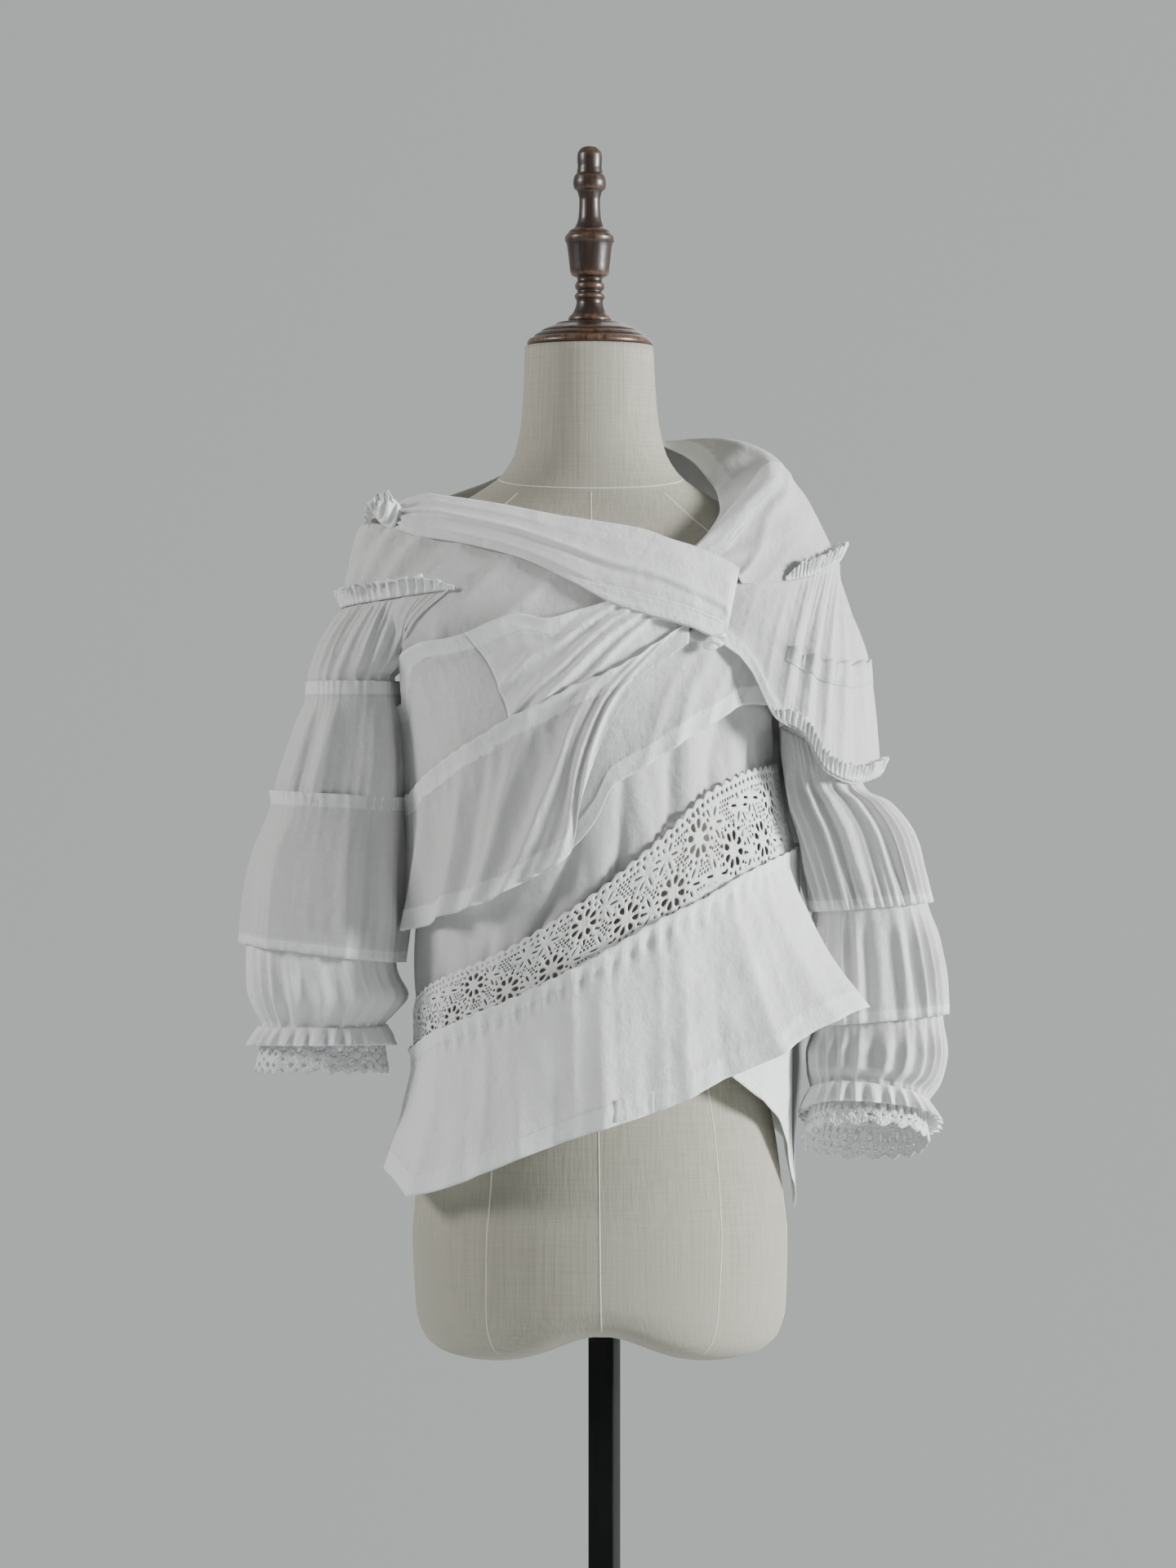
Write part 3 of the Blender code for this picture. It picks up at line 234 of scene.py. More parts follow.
def smooth(at, knots, values):
    """A curve through the knots that never overshoots them, read at each value of at."""
    gaps = np.diff(knots)
    rates = np.diff(values) / gaps
    slopes = np.concatenate([rates[:1], np.zeros(len(rates) - 1), rates[-1:]])
    inner = rates[:-1] * rates[1:] > 0
    slopes[1:-1][inner] = (2 * rates[:-1] * rates[1:] / (rates[:-1] + rates[1:] + 1e-12))[inner]
    at = np.clip(at, knots[0], knots[-1])
    i = np.clip(np.searchsorted(knots, at, side="right") - 1, 0, len(gaps) - 1)
    t = (at - knots[i]) / gaps[i]
    start = values[i] * (1 + 2 * t) * (1 - t) ** 2 + slopes[i] * gaps[i] * t * (1 - t) ** 2
    end = values[i + 1] * (3 - 2 * t) * t**2 + slopes[i + 1] * gaps[i] * t**2 * (t - 1)
    return start + end


def read(rows, key, column, at):
    """One column of a table along its key column, whichever way the key runs."""
    order = np.argsort(rows[key])
    return smooth(np.asarray(at, float), rows[key][order], rows[column][order])


FORM = table(
    "z half front back",
    (790, 155.7, 105, 110), (860, 148, 98, 112), (900, 141, 95, 107), (950, 131, 91, 98),
    (1010, 120, 87, 88), (1062, 114, 82, 80), (1130, 119, 92, 78), (1200, 134, 110, 88),
    (1240, 142, 117, 95), (1290, 150, 101, 100), (1320, 160, 90, 96), (1345, 168, 76, 88),
    (1362, 163, 64, 80), (1376, 138, 58, 73), (1390, 112, 54, 68), (1401, 93, 53, 64),
    (1415, 74, 52, 60), (1436, 62, 53, 56), (1470, 56, 52, 53), (1522, 53.4, 52, 52),
)
LOBE = table(
    "height shrink",
    (0, 0.60), (3, 0.74), (9, 0.86), (20, 0.94), (42, 0.985), (90, 1.0),
)


def form_point(angle, z, shrink=1.0, lift=0.0):
    """A point of the torso: an oval at each height, whose middle leans left as it rises."""
    turn = np.radians(angle)
    half = read(FORM, "z", "half", z) * shrink + lift
    front = read(FORM, "z", "front", z) * shrink + lift
    back = read(FORM, "z", "back", z) * shrink + lift
    x = FORM_MIDDLE - (z - FORM_HIP) * FORM_LEAN + half * np.sin(turn)
    y = -np.where(np.cos(turn) > 0, front, back) * np.cos(turn)
    return np.stack(np.broadcast_arrays(x, y, z), -1)


def form_rise(x, height):
    """How far the foot is arched up: a bell round its middle that fades out 70 mm above the foot."""
    return 25.0 * np.clip(1 - height / 70.0, 0, 1) * np.exp(-(((x + 2.8) / 52.0) ** 2))


def lobe_shrink(height):
    """The share of its full width that the torso has at a height above its foot."""
    low = read(LOBE, "height", "shrink", np.clip(height, 0, LOBE_HEIGHT))
    return np.where(height >= LOBE_HEIGHT, 1.0, low)


def form_grid():
    """The torso's rings from the neck down, over the foot and in to the pole's socket."""
    angle = np.linspace(0, 360, FORM_COLUMNS, endpoint=False)[None, :]
    upper = np.arange(FORM_HIGH, FORM_LOW + LOBE_HEIGHT, -FORM_STEP)
    lower = LOBE_HEIGHT * np.linspace(1, 0, LOBE_ROWS) ** 1.6
    z = np.concatenate([upper, FORM_LOW + lower])[:, None]
    height = z - FORM_LOW
    grid = form_point(angle, z, lobe_shrink(height))
    grid[..., 2] += form_rise(grid[..., 0], height)
    rings = [grid]
    for share in (0.9, 0.75, 0.6):
        ring = grid[-1:].copy()
        ring[..., :2] *= share
        ring[..., 2] = FORM_LOW - 1.0 * (1 - share) + form_rise(ring[..., 0], 0.0)
        rings.append(ring)
    turn = np.radians(angle)
    socket = np.stack([np.sin(turn), -np.cos(turn), 0 * turn], -1) * SOCKET_RADIUS
    socket[..., 2] = SOCKET_TOP
    return np.concatenate(rings + [socket])


def linen():
    """Plain linen: a coarse weave, thick and thin threads both ways, and paler seams."""
    finish, tree, shader = new_finish("linen", Roughness=0.92, Sheen_Weight=0.12)
    warp = noise(tree, place(tree, (420, 420, 7)), 1.0, 3.0, 0.6)
    weft = noise(tree, place(tree, (22, 22, 640)), 1.0, 3.0, 0.6)
    cloudy = noise(tree, place(tree, (1, 1, 0.5)), 9.0, 4.0)
    threads = maths(tree, "ADD", maths(tree, "MULTIPLY", warp, 0.62), maths(tree, "MULTIPLY", weft, 0.38))
    colour = mixed(tree, ramp(tree, threads, 0.36, 0.64), (0.33, 0.315, 0.25), (0.45, 0.43, 0.355))
    colour = mixed(tree, ramp(tree, cloudy, 0.35, 0.75), colour, (0.38, 0.365, 0.30))
    tree.links.new(colour, shader.inputs["Base Color"])
    bump(tree, shader, maths(tree, "MULTIPLY", threads, 0.0005))
    return finish


def rib(line, outward, width, height):
    """A half-round cord on a surface: five points across, raised in the middle, for each point."""
    run = np.gradient(line, axis=0)
    side = np.cross(outward, run)
    side = side / np.linalg.norm(side, axis=-1, keepdims=True)
    across = np.linspace(-1, 1, 5)[None, :, None]
    rise = height * np.cos(across * math.pi / 2) - 0.15
    return line[:, None] + side[:, None] * across * width / 2 + outward[:, None] * rise


def joined(grids):
    """Several open grids of points as one list of points and faces."""
    points, faces, count = [], [], 0
    for grid in grids:
        rows, columns = grid.shape[:2]
        points.append(grid.reshape(-1, 3))
        faces.append(grid_quads(rows, columns, False) + count)
        count += rows * columns
    return np.concatenate(points), np.concatenate(faces).tolist()


def seam_line(angle, z, lift=0.05):
    """A line on the torso and its outward directions."""
    line = form_point(angle, z, 1.0, lift)
    outer = form_point(angle, z, 1.0, lift + 1.0)
    height = z - FORM_LOW
    line[..., :2] *= lobe_shrink(height)[..., None]
    line[..., 2] += form_rise(line[..., 0], height)
    outward = outer - form_point(angle, z, 1.0, lift)
    return line, outward / np.linalg.norm(outward, axis=-1, keepdims=True)


def torso_seams():
    """A rib down each seam, where those between the main ones bow to and fro, and one round the neck."""
    down = np.linspace(SEAM_TOP, FORM_LOW + 10, 150)
    ribs = []
    for middle in SEAM_ANGLES:
        between = abs(math.sin(math.radians(2 * middle))) > 0.2
        bow = SEAM_BOW * np.sin((down - 700) / 110.0) * between
        ribs.append(rib(*seam_line(middle + bow, down), SEAM_WIDTH, SEAM_HEIGHT))
    around = np.linspace(0, 360, 121)
    neck = seam_line(around, NECK_SEAM - NECK_SEAM_DIP * np.cos(np.radians(around)))
    return joined(ribs + [rib(*neck, SEAM_WIDTH, SEAM_HEIGHT)])


def seam_tape():
    """The paler folded edge of the linen along the seams."""
    finish, tree, shader = new_finish("linen_seam", Roughness=0.9)
    fold = noise(tree, place(tree, (1, 1, 1)), 500.0)
    tree.links.new(mixed(tree, fold, (0.56, 0.54, 0.46), (0.76, 0.74, 0.66)), shader.inputs["Base Color"])
    return finish


linen_cover = linen()
stacked_rings("torso_linen", form_grid(), linen_cover, ["form_body"])
new_piece("torso_seams", *torso_seams(), seam_tape())


# The neck cap and its finial: two pieces of walnut turned on a lathe, stained
# nearly black and lacquered, with the stain rubbed through on every raised ring.
NECK_X = -12.0
CAP = table(
    "z radius",
    (0.3, 50.8), (1.2, 52.2), (3.0, 52.4), (5.0, 51.6), (6.6, 50.2), (7.2, 47.6), (9.5, 46.0),
    (11.5, 43.0), (12.2, 40.8), (13.5, 40.2), (16, 35.0), (18, 30.0), (20, 27.0),
)
FINIAL = table(
    "z radius",
    (20.3, 17.2), (22.5, 18.2), (25, 17.4), (27.5, 14.8), (30, 13.3), (34, 11.8), (37, 11.2),
    (39, 11.4), (40.5, 12.5), (42, 12.9), (43.6, 12.4), (45, 10.9), (46.2, 10.5), (47.6, 11.4),
    (49.5, 12.5), (51.5, 12.5), (53.6, 11.3), (55.5, 10.5), (57.5, 10.9), (59, 14.6), (62, 16.4),
    (70, 17.4), (80, 18.6), (86, 19.6), (88.2, 20.7), (90.6, 20.9), (92.6, 20.2), (94.6, 18.2),
    (97, 16.6), (98.4, 13.8), (100, 12.4), (104, 10.6), (108, 9.6), (116, 9.0), (122, 8.9),
    (126, 9.6), (130, 11.0), (131.2, 12.9), (134, 13.9), (137, 14.1), (140, 13.6), (142.6, 12.8),
    (144, 11.2), (147, 10.7), (150, 10.3), (156, 10.6), (160, 10.5), (163, 9.4), (165, 7.8),
    (166.4, 5.6), (167, 3.6),
)
TURNED_COLUMNS = 52
TURNED_STEP = 0.6


def attribute(tree, name):
    """The value that a mesh keeps at its points under a name."""
    made = tree.nodes.new("ShaderNodeAttribute")
    made.attribute_name = name
    return made.outputs["Fac"]


def walnut():
    """Dark stained wood: long grain along the axis, and a paler brown on worn rings."""
    finish, tree, shader = new_finish("walnut", Coat_Weight=0.35, Coat_Roughness=0.22)
    grain = noise(tree, place(tree, (240, 240, 16)), 1.0, 5.0, 0.65)
    broad = noise(tree, place(tree, (30, 30, 5)), 1.0, 3.0)
    colour = mixed(tree, ramp(tree, grain, 0.35, 0.7), (0.013, 0.008, 0.006), (0.052, 0.027, 0.017))
    colour = mixed(tree, ramp(tree, broad, 0.45, 0.8), colour, (0.030, 0.016, 0.011))
    rubbed = maths(tree, "MULTIPLY", attribute(tree, "worn"), ramp(tree, grain, 0.3, 0.62))
    colour = mixed(tree, rubbed, colour, (0.165, 0.085, 0.048))
    tree.links.new(colour, shader.inputs["Base Color"])
    tree.links.new(maths(tree, "MULTIPLY_ADD", grain, 0.25, 0.27), shader.inputs["Roughness"])
    bump(tree, shader, maths(tree, "MULTIPLY", grain, 0.00025))
    return finish


def turned(name, profile, finish, nodes):
    """A profile turned about the neck's axis; worn is high where it stands out of its surroundings."""
    z = np.arange(profile["z"][-1], profile["z"][0], -TURNED_STEP)
    radius = smooth(z, profile["z"], profile["radius"])
    window = np.ones(13) / 13
    around = np.convolve(np.pad(radius, 6, mode="edge"), window, mode="valid")
    worn = np.clip((radius - around) / 0.9, 0, 1)
    angle = np.linspace(0, 2 * np.pi, TURNED_COLUMNS, endpoint=False)
    x = NECK_X + radius[:, None] * np.sin(angle)
    y = -radius[:, None] * np.cos(angle)
    rings = np.stack(np.broadcast_arrays(x, y, FORM_HIGH + z[:, None]), -1)
    stacked_rings(name, rings, finish, nodes, {"worn": np.repeat(worn, TURNED_COLUMNS)})


dark_walnut = walnut()
turned("neck_cap_walnut", CAP, dark_walnut, ["neck_cap"])
turned("finial_walnut", FINIAL, dark_walnut, ["finial"])


# The layer under the tiers: sheer white voile in a front and a back width, which
# hangs from the chest seam and runs in deep soft folds down behind the lace.
CLOTH = 0.45
CELL = 2.6
BACK_CELL = 4.2
PANEL_MM_PER_DEGREE = 2.72
CREASE_MM_PER_DEGREE = 2.7
HULL = table(
    "z left right front back",
    (800, -164, 149, 126, 120), (860, -160, 150, 126, 120), (900, -156, 152, 124, 118),
    (950, -156, 155, 123, 114), (1000, -157, 158, 123, 108), (1050, -158, 158, 124, 102),
    (1100, -160, 156, 125, 98), (1141, -163, 147, 127, 96), (1190, -166, 140, 129, 98),
    (1225, -170, 142, 130, 102), (1250, -178, 152, 128, 105), (1275, -196, 166, 124, 108),
    (1300, -214, 180, 118, 110), (1318, -215, 190, 110, 110), (1340, -213, 192, 98, 108),
    (1362, -208, 186, 86, 104), (1380, -198, 174, 76, 98), (1395, -165, 150, 70, 90),
    (1410, -130, 112, 66, 80), (1425, -100, 80, 64, 68), (1442, -82, 62, 62, 57.5),
)
SLIP = 0.12
WEAVE_PITCH = 0.00045
STITCH_PITCH = 0.0027
STITCH_DASH = 0.72
STITCH_HALF_WIDTH = 0.00045
STITCH_GROOVE = 0.0016


def hull(angle, z, lift):
    """The point at an angle and height round the body, lift outside the oval the blouse hangs on."""
    turn = np.radians(angle)
    left, right = read(HULL, "z", "left", z), read(HULL, "z", "right", z)
    depth = np.where(np.cos(turn) > 0, read(HULL, "z", "front", z), read(HULL, "z", "back", z))
    x = (left + right) / 2 + ((right - left) / 2 + lift) * np.sin(turn)
    y = -(depth + lift) * np.cos(turn)
    return np.stack(np.broadcast_arrays(x, y, z), -1)


def ridges(angle, down, folds):
    """Listed folds: each row is a ridge with a fairly sharp crest, from a top angle to a bottom one."""
    total = np.zeros(np.broadcast(angle, down).shape)
    for top, bottom, width, high, low in zip(*folds.values()) if folds else ():
        middle = top + (bottom - top) * down
        total = total + (high + (low - high) * down) * np.exp(-(np.abs((angle - middle) / width) ** 1.5))
    return total


def gathers(turn, count, seed, down=0.0):
    """Uneven folds with pinched crests along turn, whose phase wanders and whose height varies."""
    chance = np.random.default_rng(seed)
    wander, swell = 0.0, 0.0
    for k in range(1, 8):
        wander = wander + chance.uniform(-1, 1) * np.sin(k * turn + chance.uniform(0, 6.28)) / k**0.6
        swell = swell + chance.uniform(-1, 1) * np.sin((k + 2) * turn + chance.uniform(0, 6.28)) / 2
    wave = 1 - 2 * np.abs(np.sin((count * turn + 1.3 * wander + 1.1 * down * wander) / 2)) ** 1.35
    return (0.72 + 0.28 * np.tanh(swell)) * wave


def crumple(x, y, size, seed):
    """Soft creases left by wear: ridged waves in several directions, each bent by the one before."""
    chance = np.random.default_rng(seed)
    total, bend = 0.0, 0.0
    for _ in range(6):
        angle = chance.uniform(0, math.pi)
        length = size * chance.uniform(0.7, 1.6)
        along = (x * math.cos(angle) + y * math.sin(angle)) / length + chance.uniform(0, 6.28)
        ridge = 1 - np.abs(np.sin(along + bend)) ** 0.7
        total = total + ridge * chance.uniform(0.4, 1.0)
        bend = 0.9 * np.sin(along * 0.7 + chance.uniform(0, 6.28))
    return total / 3 - 0.5


def wear(angle, z, size, seed):
    """Creases on the body: crumple, with the angle turned into millimetres round it."""
    return crumple(angle * CREASE_MM_PER_DEGREE, z, size, seed)


def stitches(tree, u, row):
    """How near a row of stitches is, and the dashes of thread on it, from the distance u along the cloth."""
    near = maths(tree, "SUBTRACT", 1.0, ramp(tree, row, 0.0, STITCH_GROOVE))
    share = maths(tree, "FRACT", maths(tree, "DIVIDE", u, STITCH_PITCH))
    on_row = maths(tree, "LESS_THAN", row, STITCH_HALF_WIDTH)
    return near, maths(tree, "MULTIPLY", on_row, maths(tree, "LESS_THAN", share, STITCH_DASH))


def cotton(name, single, doubled, alpha, crispness):
    """White cotton: a fine plain weave with uneven threads, small creases, and dashed stitching.

    The value doubled makes hems and headings whiter and denser; row is the distance to the
    nearest row of stitches, which pulls the cloth into a shallow groove, and the colour is
    darkened along it as painted shade in that groove.
    """
    finish, tree, shader = new_finish(name, Roughness=0.82, Sheen_Weight=0.18, Sheen_Roughness=0.4)
    cloth_uv = tree.nodes.new("ShaderNodeTexCoord").outputs["UV"]
    split = tree.nodes.new("ShaderNodeSeparateXYZ")
    tree.links.new(cloth_uv, split.inputs[0])
    u, v = split.outputs[0], split.outputs[1]
    turns = math.tau / WEAVE_PITCH
    warp = maths(tree, "SINE", maths(tree, "MULTIPLY", u, turns))
    weft = maths(tree, "SINE", maths(tree, "MULTIPLY", v, turns))
    weave = maths(tree, "MULTIPLY", warp, weft)
    thick_u, thick_v, ripple = (
        noise(tree, add_node(tree, "Mapping", [("Vector", cloth_uv), ("Scale", scale)]), 1.0)
        for scale in ((900, 26, 1), (26, 900, 1), (210, 45, 1)))
    threads = maths(tree, "ADD", thick_u, thick_v)
    wrinkle = noise(tree, place(tree, (1, 1, 0.8)), 34.0, 5.0, 0.55)
    fine = noise(tree, place(tree, (1, 1, 1)), 120.0, 3.0, 0.5)
    band, row = attribute(tree, "doubled"), attribute(tree, "row")
    near, thread = stitches(tree, u, row)
    beside = maths(tree, "SUBTRACT", 1.0, ramp(tree, row, 0.0005, 0.008))
    shade = ramp(tree, threads, 0.7, 1.3)
    colour = mixed(tree, band, single, doubled)
    # painted shade: the colour is darkened towards each row of stitches, in the groove they pull
    groove_painted_shade = mixed(tree, maths(tree, "MULTIPLY", near, 0.35), colour, (0.56, 0.56, 0.59))
    tone = mixed(tree, maths(tree, "MULTIPLY", shade, 0.05), groove_painted_shade, (1.0, 1.0, 1.0))
    tone = mixed(tree, maths(tree, "MULTIPLY", thread, 0.6), tone, (0.93, 0.93, 0.94))
    tree.links.new(tone, shader.inputs["Base Color"])
    if alpha < 1:
        single_alpha = maths(tree, "MULTIPLY_ADD", shade, 0.06, alpha - 0.03)
        solid = maths(tree, "MAXIMUM", single_alpha, maths(tree, "MULTIPLY", band, 0.97))
        tree.links.new(solid, shader.inputs["Alpha"])
    height = maths(tree, "MULTIPLY", weave, 0.00003)
    puckers = maths(tree, "MULTIPLY", ripple, beside)
    for part, depth in ((threads, 0.00003), (wrinkle, 0.0021 * crispness), (fine, 0.00045 * crispness),
                        (near, -0.00035), (puckers, 0.0011), (thread, 0.00022)):
        height = maths(tree, "MULTIPLY_ADD", part, depth, height)
    bump(tree, shader, height)
    return finish


voile = cotton("cotton_voile", (0.78, 0.775, 0.77), (0.86, 0.86, 0.86), 0.80, 1.9)
lawn = cotton("cotton_lawn", (0.845, 0.85, 0.84), (0.91, 0.915, 0.915), 1.0, 1.9)


def thicken(piece, thick):
    """Gives a sheet its thickness in millimetres, inwards from the surface it was made on."""
    shell = piece.modifiers.new("thickness", "SOLIDIFY")
    shell.thickness = thick * 0.001
    shell.offset = -1.0


def flat_corners(along, down, closed):
    """Where each cell's corners lie on the flat cloth, in metres along and down it, for the weave."""
    rows, columns = down.shape
    i, j = np.indices((rows - 1, columns if closed else columns - 1))
    k = (j + 1) % columns
    corners_u = np.stack([along[j], along[j], along[j + 1], along[j + 1]], -1)
    corners_v = np.stack([down[i, j], down[i + 1, j], down[i + 1, k], down[i, k]], -1)
    return np.stack([corners_u, corners_v], -1).reshape(-1, 2) * 0.001


def stitched_bands(down, hem, heading):
    """The distance to the nearest row of stitches, and how doubled the cloth is, from its bands' depths."""
    row, doubled = np.full(down.shape, 99.0), np.zeros(down.shape)
    for depth, away in ((hem, down[-1:] - down), (heading, down)):
        if depth > 0:
            row = np.minimum(row, np.abs(away - depth))
            doubled = np.maximum(doubled, np.clip((depth + 0.6 - away) / 1.2, 0, 1))
    return row, doubled


def cloth(name, grid, finish, nodes, fullness=1.15, closed=False,
          hem=0.0, heading=0.0, hems=None, thick=CLOTH):
    """A thin shell of cloth from a grid of millimetre points, rows down and columns along.

    hem and heading are the depths of the doubled bands at its two edges, each with a
    row of stitches, and hems adds other rows and bands. Its flat cut, its run along its
    middle row and down its columns times its fullness, is worked out but not used.
    """
    rows, columns = grid.shape[:2]
    steps = np.linalg.norm(np.diff(grid, axis=0), axis=-1)
    down = np.concatenate([np.zeros((1, columns)), np.cumsum(steps, axis=0)])
    ring = np.concatenate([grid, grid[:, :1]], 1) if closed else grid
    middle = ring[rows // 2]
    along = np.concatenate([[0], np.cumsum(np.linalg.norm(np.diff(middle, axis=0), axis=-1))])
    row, doubled = stitched_bands(down, hem, heading)
    if hems is not None:
        row, doubled = np.minimum(row, hems[0]), np.maximum(doubled, hems[1])
    values = {"doubled": doubled, "row": row * 0.001}
    piece = new_piece(name, grid.reshape(-1, 3), grid_quads(rows, columns, closed).tolist(), finish, nodes,
                      flat_corners(along, down, closed), values)
    thicken(piece, thick)
    width = float(along[-1]) * fullness * 0.001
    length = float(down[-1].mean()) * 0.001
    a, b = grid[1:, :-1] - grid[:-1, :-1], grid[:-1, 1:] - grid[:-1, :-1]
    area = float(np.linalg.norm(np.cross(a, b), axis=-1).sum()) * 1e-6 * fullness
    width = max(width, area / length)
    return piece


def stepped_band(away, depth, rise):
    """The extra height of a doubled band: a small step at its stitches."""
    return rise * np.clip((depth + 0.8 - away) / 1.6, 0, 1)


def panel(name, start, end, edges, levels, finish, nodes, folds=None, relief=None,
          hem=0.0, heading=0.0, fullness=1.15, step=CELL):
    """A panel round the body between two edges given by angle.

    Its distance from the body's oval is the sum of the lifts at shares down it, a
    flare that grows towards the hem, the listed folds, the relief and the
    steps of its doubled bands.
    """
    columns = int((end - start) * PANEL_MM_PER_DEGREE / step)
    angle = np.linspace(start, end, columns)[None, :]
    top, bottom = read(edges, "angle", "top", angle), read(edges, "angle", "bottom", angle)
    usual_depth = float(np.percentile(top - bottom, 70))
    rows = max(8, int(usual_depth / step))
    share = np.linspace(0, 1, rows)[:, None]
    z = top + (bottom - top) * share
    if heading:
        z = z + 1.0 * np.exp(-share / 0.04) * gathers(np.radians(angle), 66, 7)
    flare = read(edges, "angle", "flare", angle) if "flare" in edges else 0.0
    lift = smooth(share, levels["share"], levels["lift"]) + flare * share**1.5
    lift = lift + ridges(angle, share, folds)
    if relief:
        lift = lift + relief(angle, share, z)
    if hem:
        lift = lift + stepped_band(z - bottom, hem, 0.5)
    if heading:
        lift = lift + stepped_band(top - z, heading, 0.4)
    return cloth(name, hull(angle, z, lift), finish, nodes, fullness, False, hem, heading)


UNDER_FRONT = table(
    "angle top bottom",
    (-90, 1050, 961), (-60, 1055, 988), (-34, 1074, 1012), (-15, 1100, 1046), (-6, 1128, 1064),
    (0.5, 1184, 1078), (6, 1216, 1088), (13, 1240, 1101), (20, 1262, 1116), (26, 1270, 1126),
    (33, 1270, 1136), (41, 1262, 1149), (50, 1246, 1157), (57, 1234, 1161), (66, 1226, 1164),
    (90, 1216, 1167),
)
UNDER_BACK = table(
    "angle top bottom",
    (90, 1216, 1167), (120, 1214, 1160), (150, 1204, 1132), (180, 1186, 1082),
    (210, 1158, 1032), (240, 1120, 992), (270, 1050, 961),
)
UNDER_LEVELS = table("share lift", (0, 0), (0.5, 0), (1, -0.3))
UNDER_FOLDS = table(
    "top bottom width high low",
    (14, 4, 3.0, -2, -7), (-6, -22, 3.4, -2, -8), (52, 38, 4, -2, -6), (34, 22, 3.0, -1, -6),
    (-52, -60, 4.5, 0, -5), (-30, -40, 3.5, 0, -4), (66, 58, 3.5, 0, -4),
)
UNDER_BACK_FOLDS = table(
    "top bottom width high low",
    (118, 122, 6, 0, -5), (156, 150, 5, 0, -6), (176, 181, 4, 0, -4), (196, 200, 6, 0, -6),
    (232, 236, 6, 0, -5), (252, 250, 4, 0, -4),
)


def under_relief(angle, share, z):
    """Fine gathers that grow towards the lace, with a few creases; it never rises above the panel."""
    turn = np.radians(angle)
    shown = np.sin(np.pi * np.clip((share - 0.1) / 0.82, 0, 1))
    swell = 3.4 * shown * gathers(turn, 13, 6, share)
    fine = 0.7 * share**1.5 * (1 + gathers(turn, 46, 5, share))
    return swell - 0.7 - fine + 1.8 * np.minimum(wear(angle, z, 26, 8), 0)


panel("under_front_cloth", -90 + SLIP, 90 - SLIP, UNDER_FRONT, UNDER_LEVELS, voile, ["under_front"],
      UNDER_FOLDS, under_relief)
panel("under_back_cloth", 90 + SLIP, 270 - SLIP, UNDER_BACK, UNDER_LEVELS, voile, ["under_back"],
      UNDER_BACK_FOLDS, under_relief, step=BACK_CELL)


# The tiers: three slanting widths of voile with loose hems. The left and the back
# one have a folded heading that stands on the panel above, stitched below its edge.
TIER_LEFT = table(
    "angle top bottom",
    (-90, 1146, 1034), (-74, 1150, 1037), (-60, 1163, 1043), (-47, 1180, 1052),
    (-34, 1196, 1062), (-24, 1211, 1076), (-15, 1222, 1089), (-9, 1230, 1101),
    (-4, 1238, 1142), (0.5, 1243, 1172), (6, 1250, 1205), (13, 1262, 1232),
    (20, 1277, 1256), (26, 1290, 1272),
)
TIER_RIGHT = table(
    "angle top bottom",
    (-12, 1116, 1098), (-4, 1160, 1117), (0.5, 1190, 1132), (6, 1222, 1156),
    (13, 1246, 1167), (20, 1262, 1178), (26, 1280, 1188), (33, 1292, 1199),
    (41, 1300, 1209), (50, 1296, 1222), (57, 1284, 1223), (66, 1270, 1222),
    (78, 1258, 1217), (90, 1252, 1212),
)
TIER_BACK = table(
    "angle top bottom",
    (90, 1246, 1136), (120, 1242, 1132), (150, 1232, 1122), (180, 1214, 1104),
    (210, 1190, 1080), (240, 1165, 1055), (270, 1146, 1034),
)
TIER_LEVELS = table("share lift", (0, 5.4), (0.1, 3.9), (0.4, 5.6), (0.7, 7.4), (1, 9.0))
TIER_RIGHT_LEVELS = table("share lift", (0, 2.2), (0.3, 2.4), (0.65, 3.4), (1, 5.0))
TIER_LEFT_FOLDS = table(
    "top bottom width high low",
    (-38, -50, 4.5, 3.0, 12), (-17, -38, 4, 3.0, 13), (5, -28, 4, 3.0, 14), (-58, -74, 4.5, 2.0, 9),
    (-9, -27, 3, 0.5, -3), (-30, -45, 3, 0, -3), (-52, -62, 3, 0, -3), (15, -13, 3.5, 2.5, 8),
    (22, -4, 2.6, 1.5, 5), (-26, -42, 2.0, 0.8, 3), (9, -20, 2.2, 1.0, 4),
)
TIER_RIGHT_FOLDS = table(
    "top bottom width high low",
    (62, 50, 4, 0.4, 5), (38, 26, 3.6, 0.6, 5), (48, 37, 3, 0.3, 3.5), (76, 66, 4, 0, 4),
    (30, 16, 3, 0, 3), (55, 45, 2.2, 0, 2.5),
)
TIER_BACK_FOLDS = table(
    "top bottom width high low",
    (112, 108, 5, 0.5, 6), (140, 146, 5, 0.5, 9), (158, 156, 3.5, 0, -2.5), (178, 170, 6, 0.5, 8),
    (212, 220, 5, 0.5, 9), (196, 196, 3.5, 0, -2.5), (246, 242, 5, 0.5, 7), (128, 127, 3, 0, 4),
    (187, 189, 3, 0, 4), (230, 233, 3, 0, 4),
)


def tier_relief(angle, share, z):
    """Small gathers under the heading's stitches that die out, and soft wear creases."""
    turn = np.radians(angle)
    near = np.exp(-(((share - 0.2) / 0.16) ** 2))
    return 0.8 * near * gathers(turn, 60, 11, share) + (0.5 + 1.8 * share) * wear(angle, z, 24, 12)


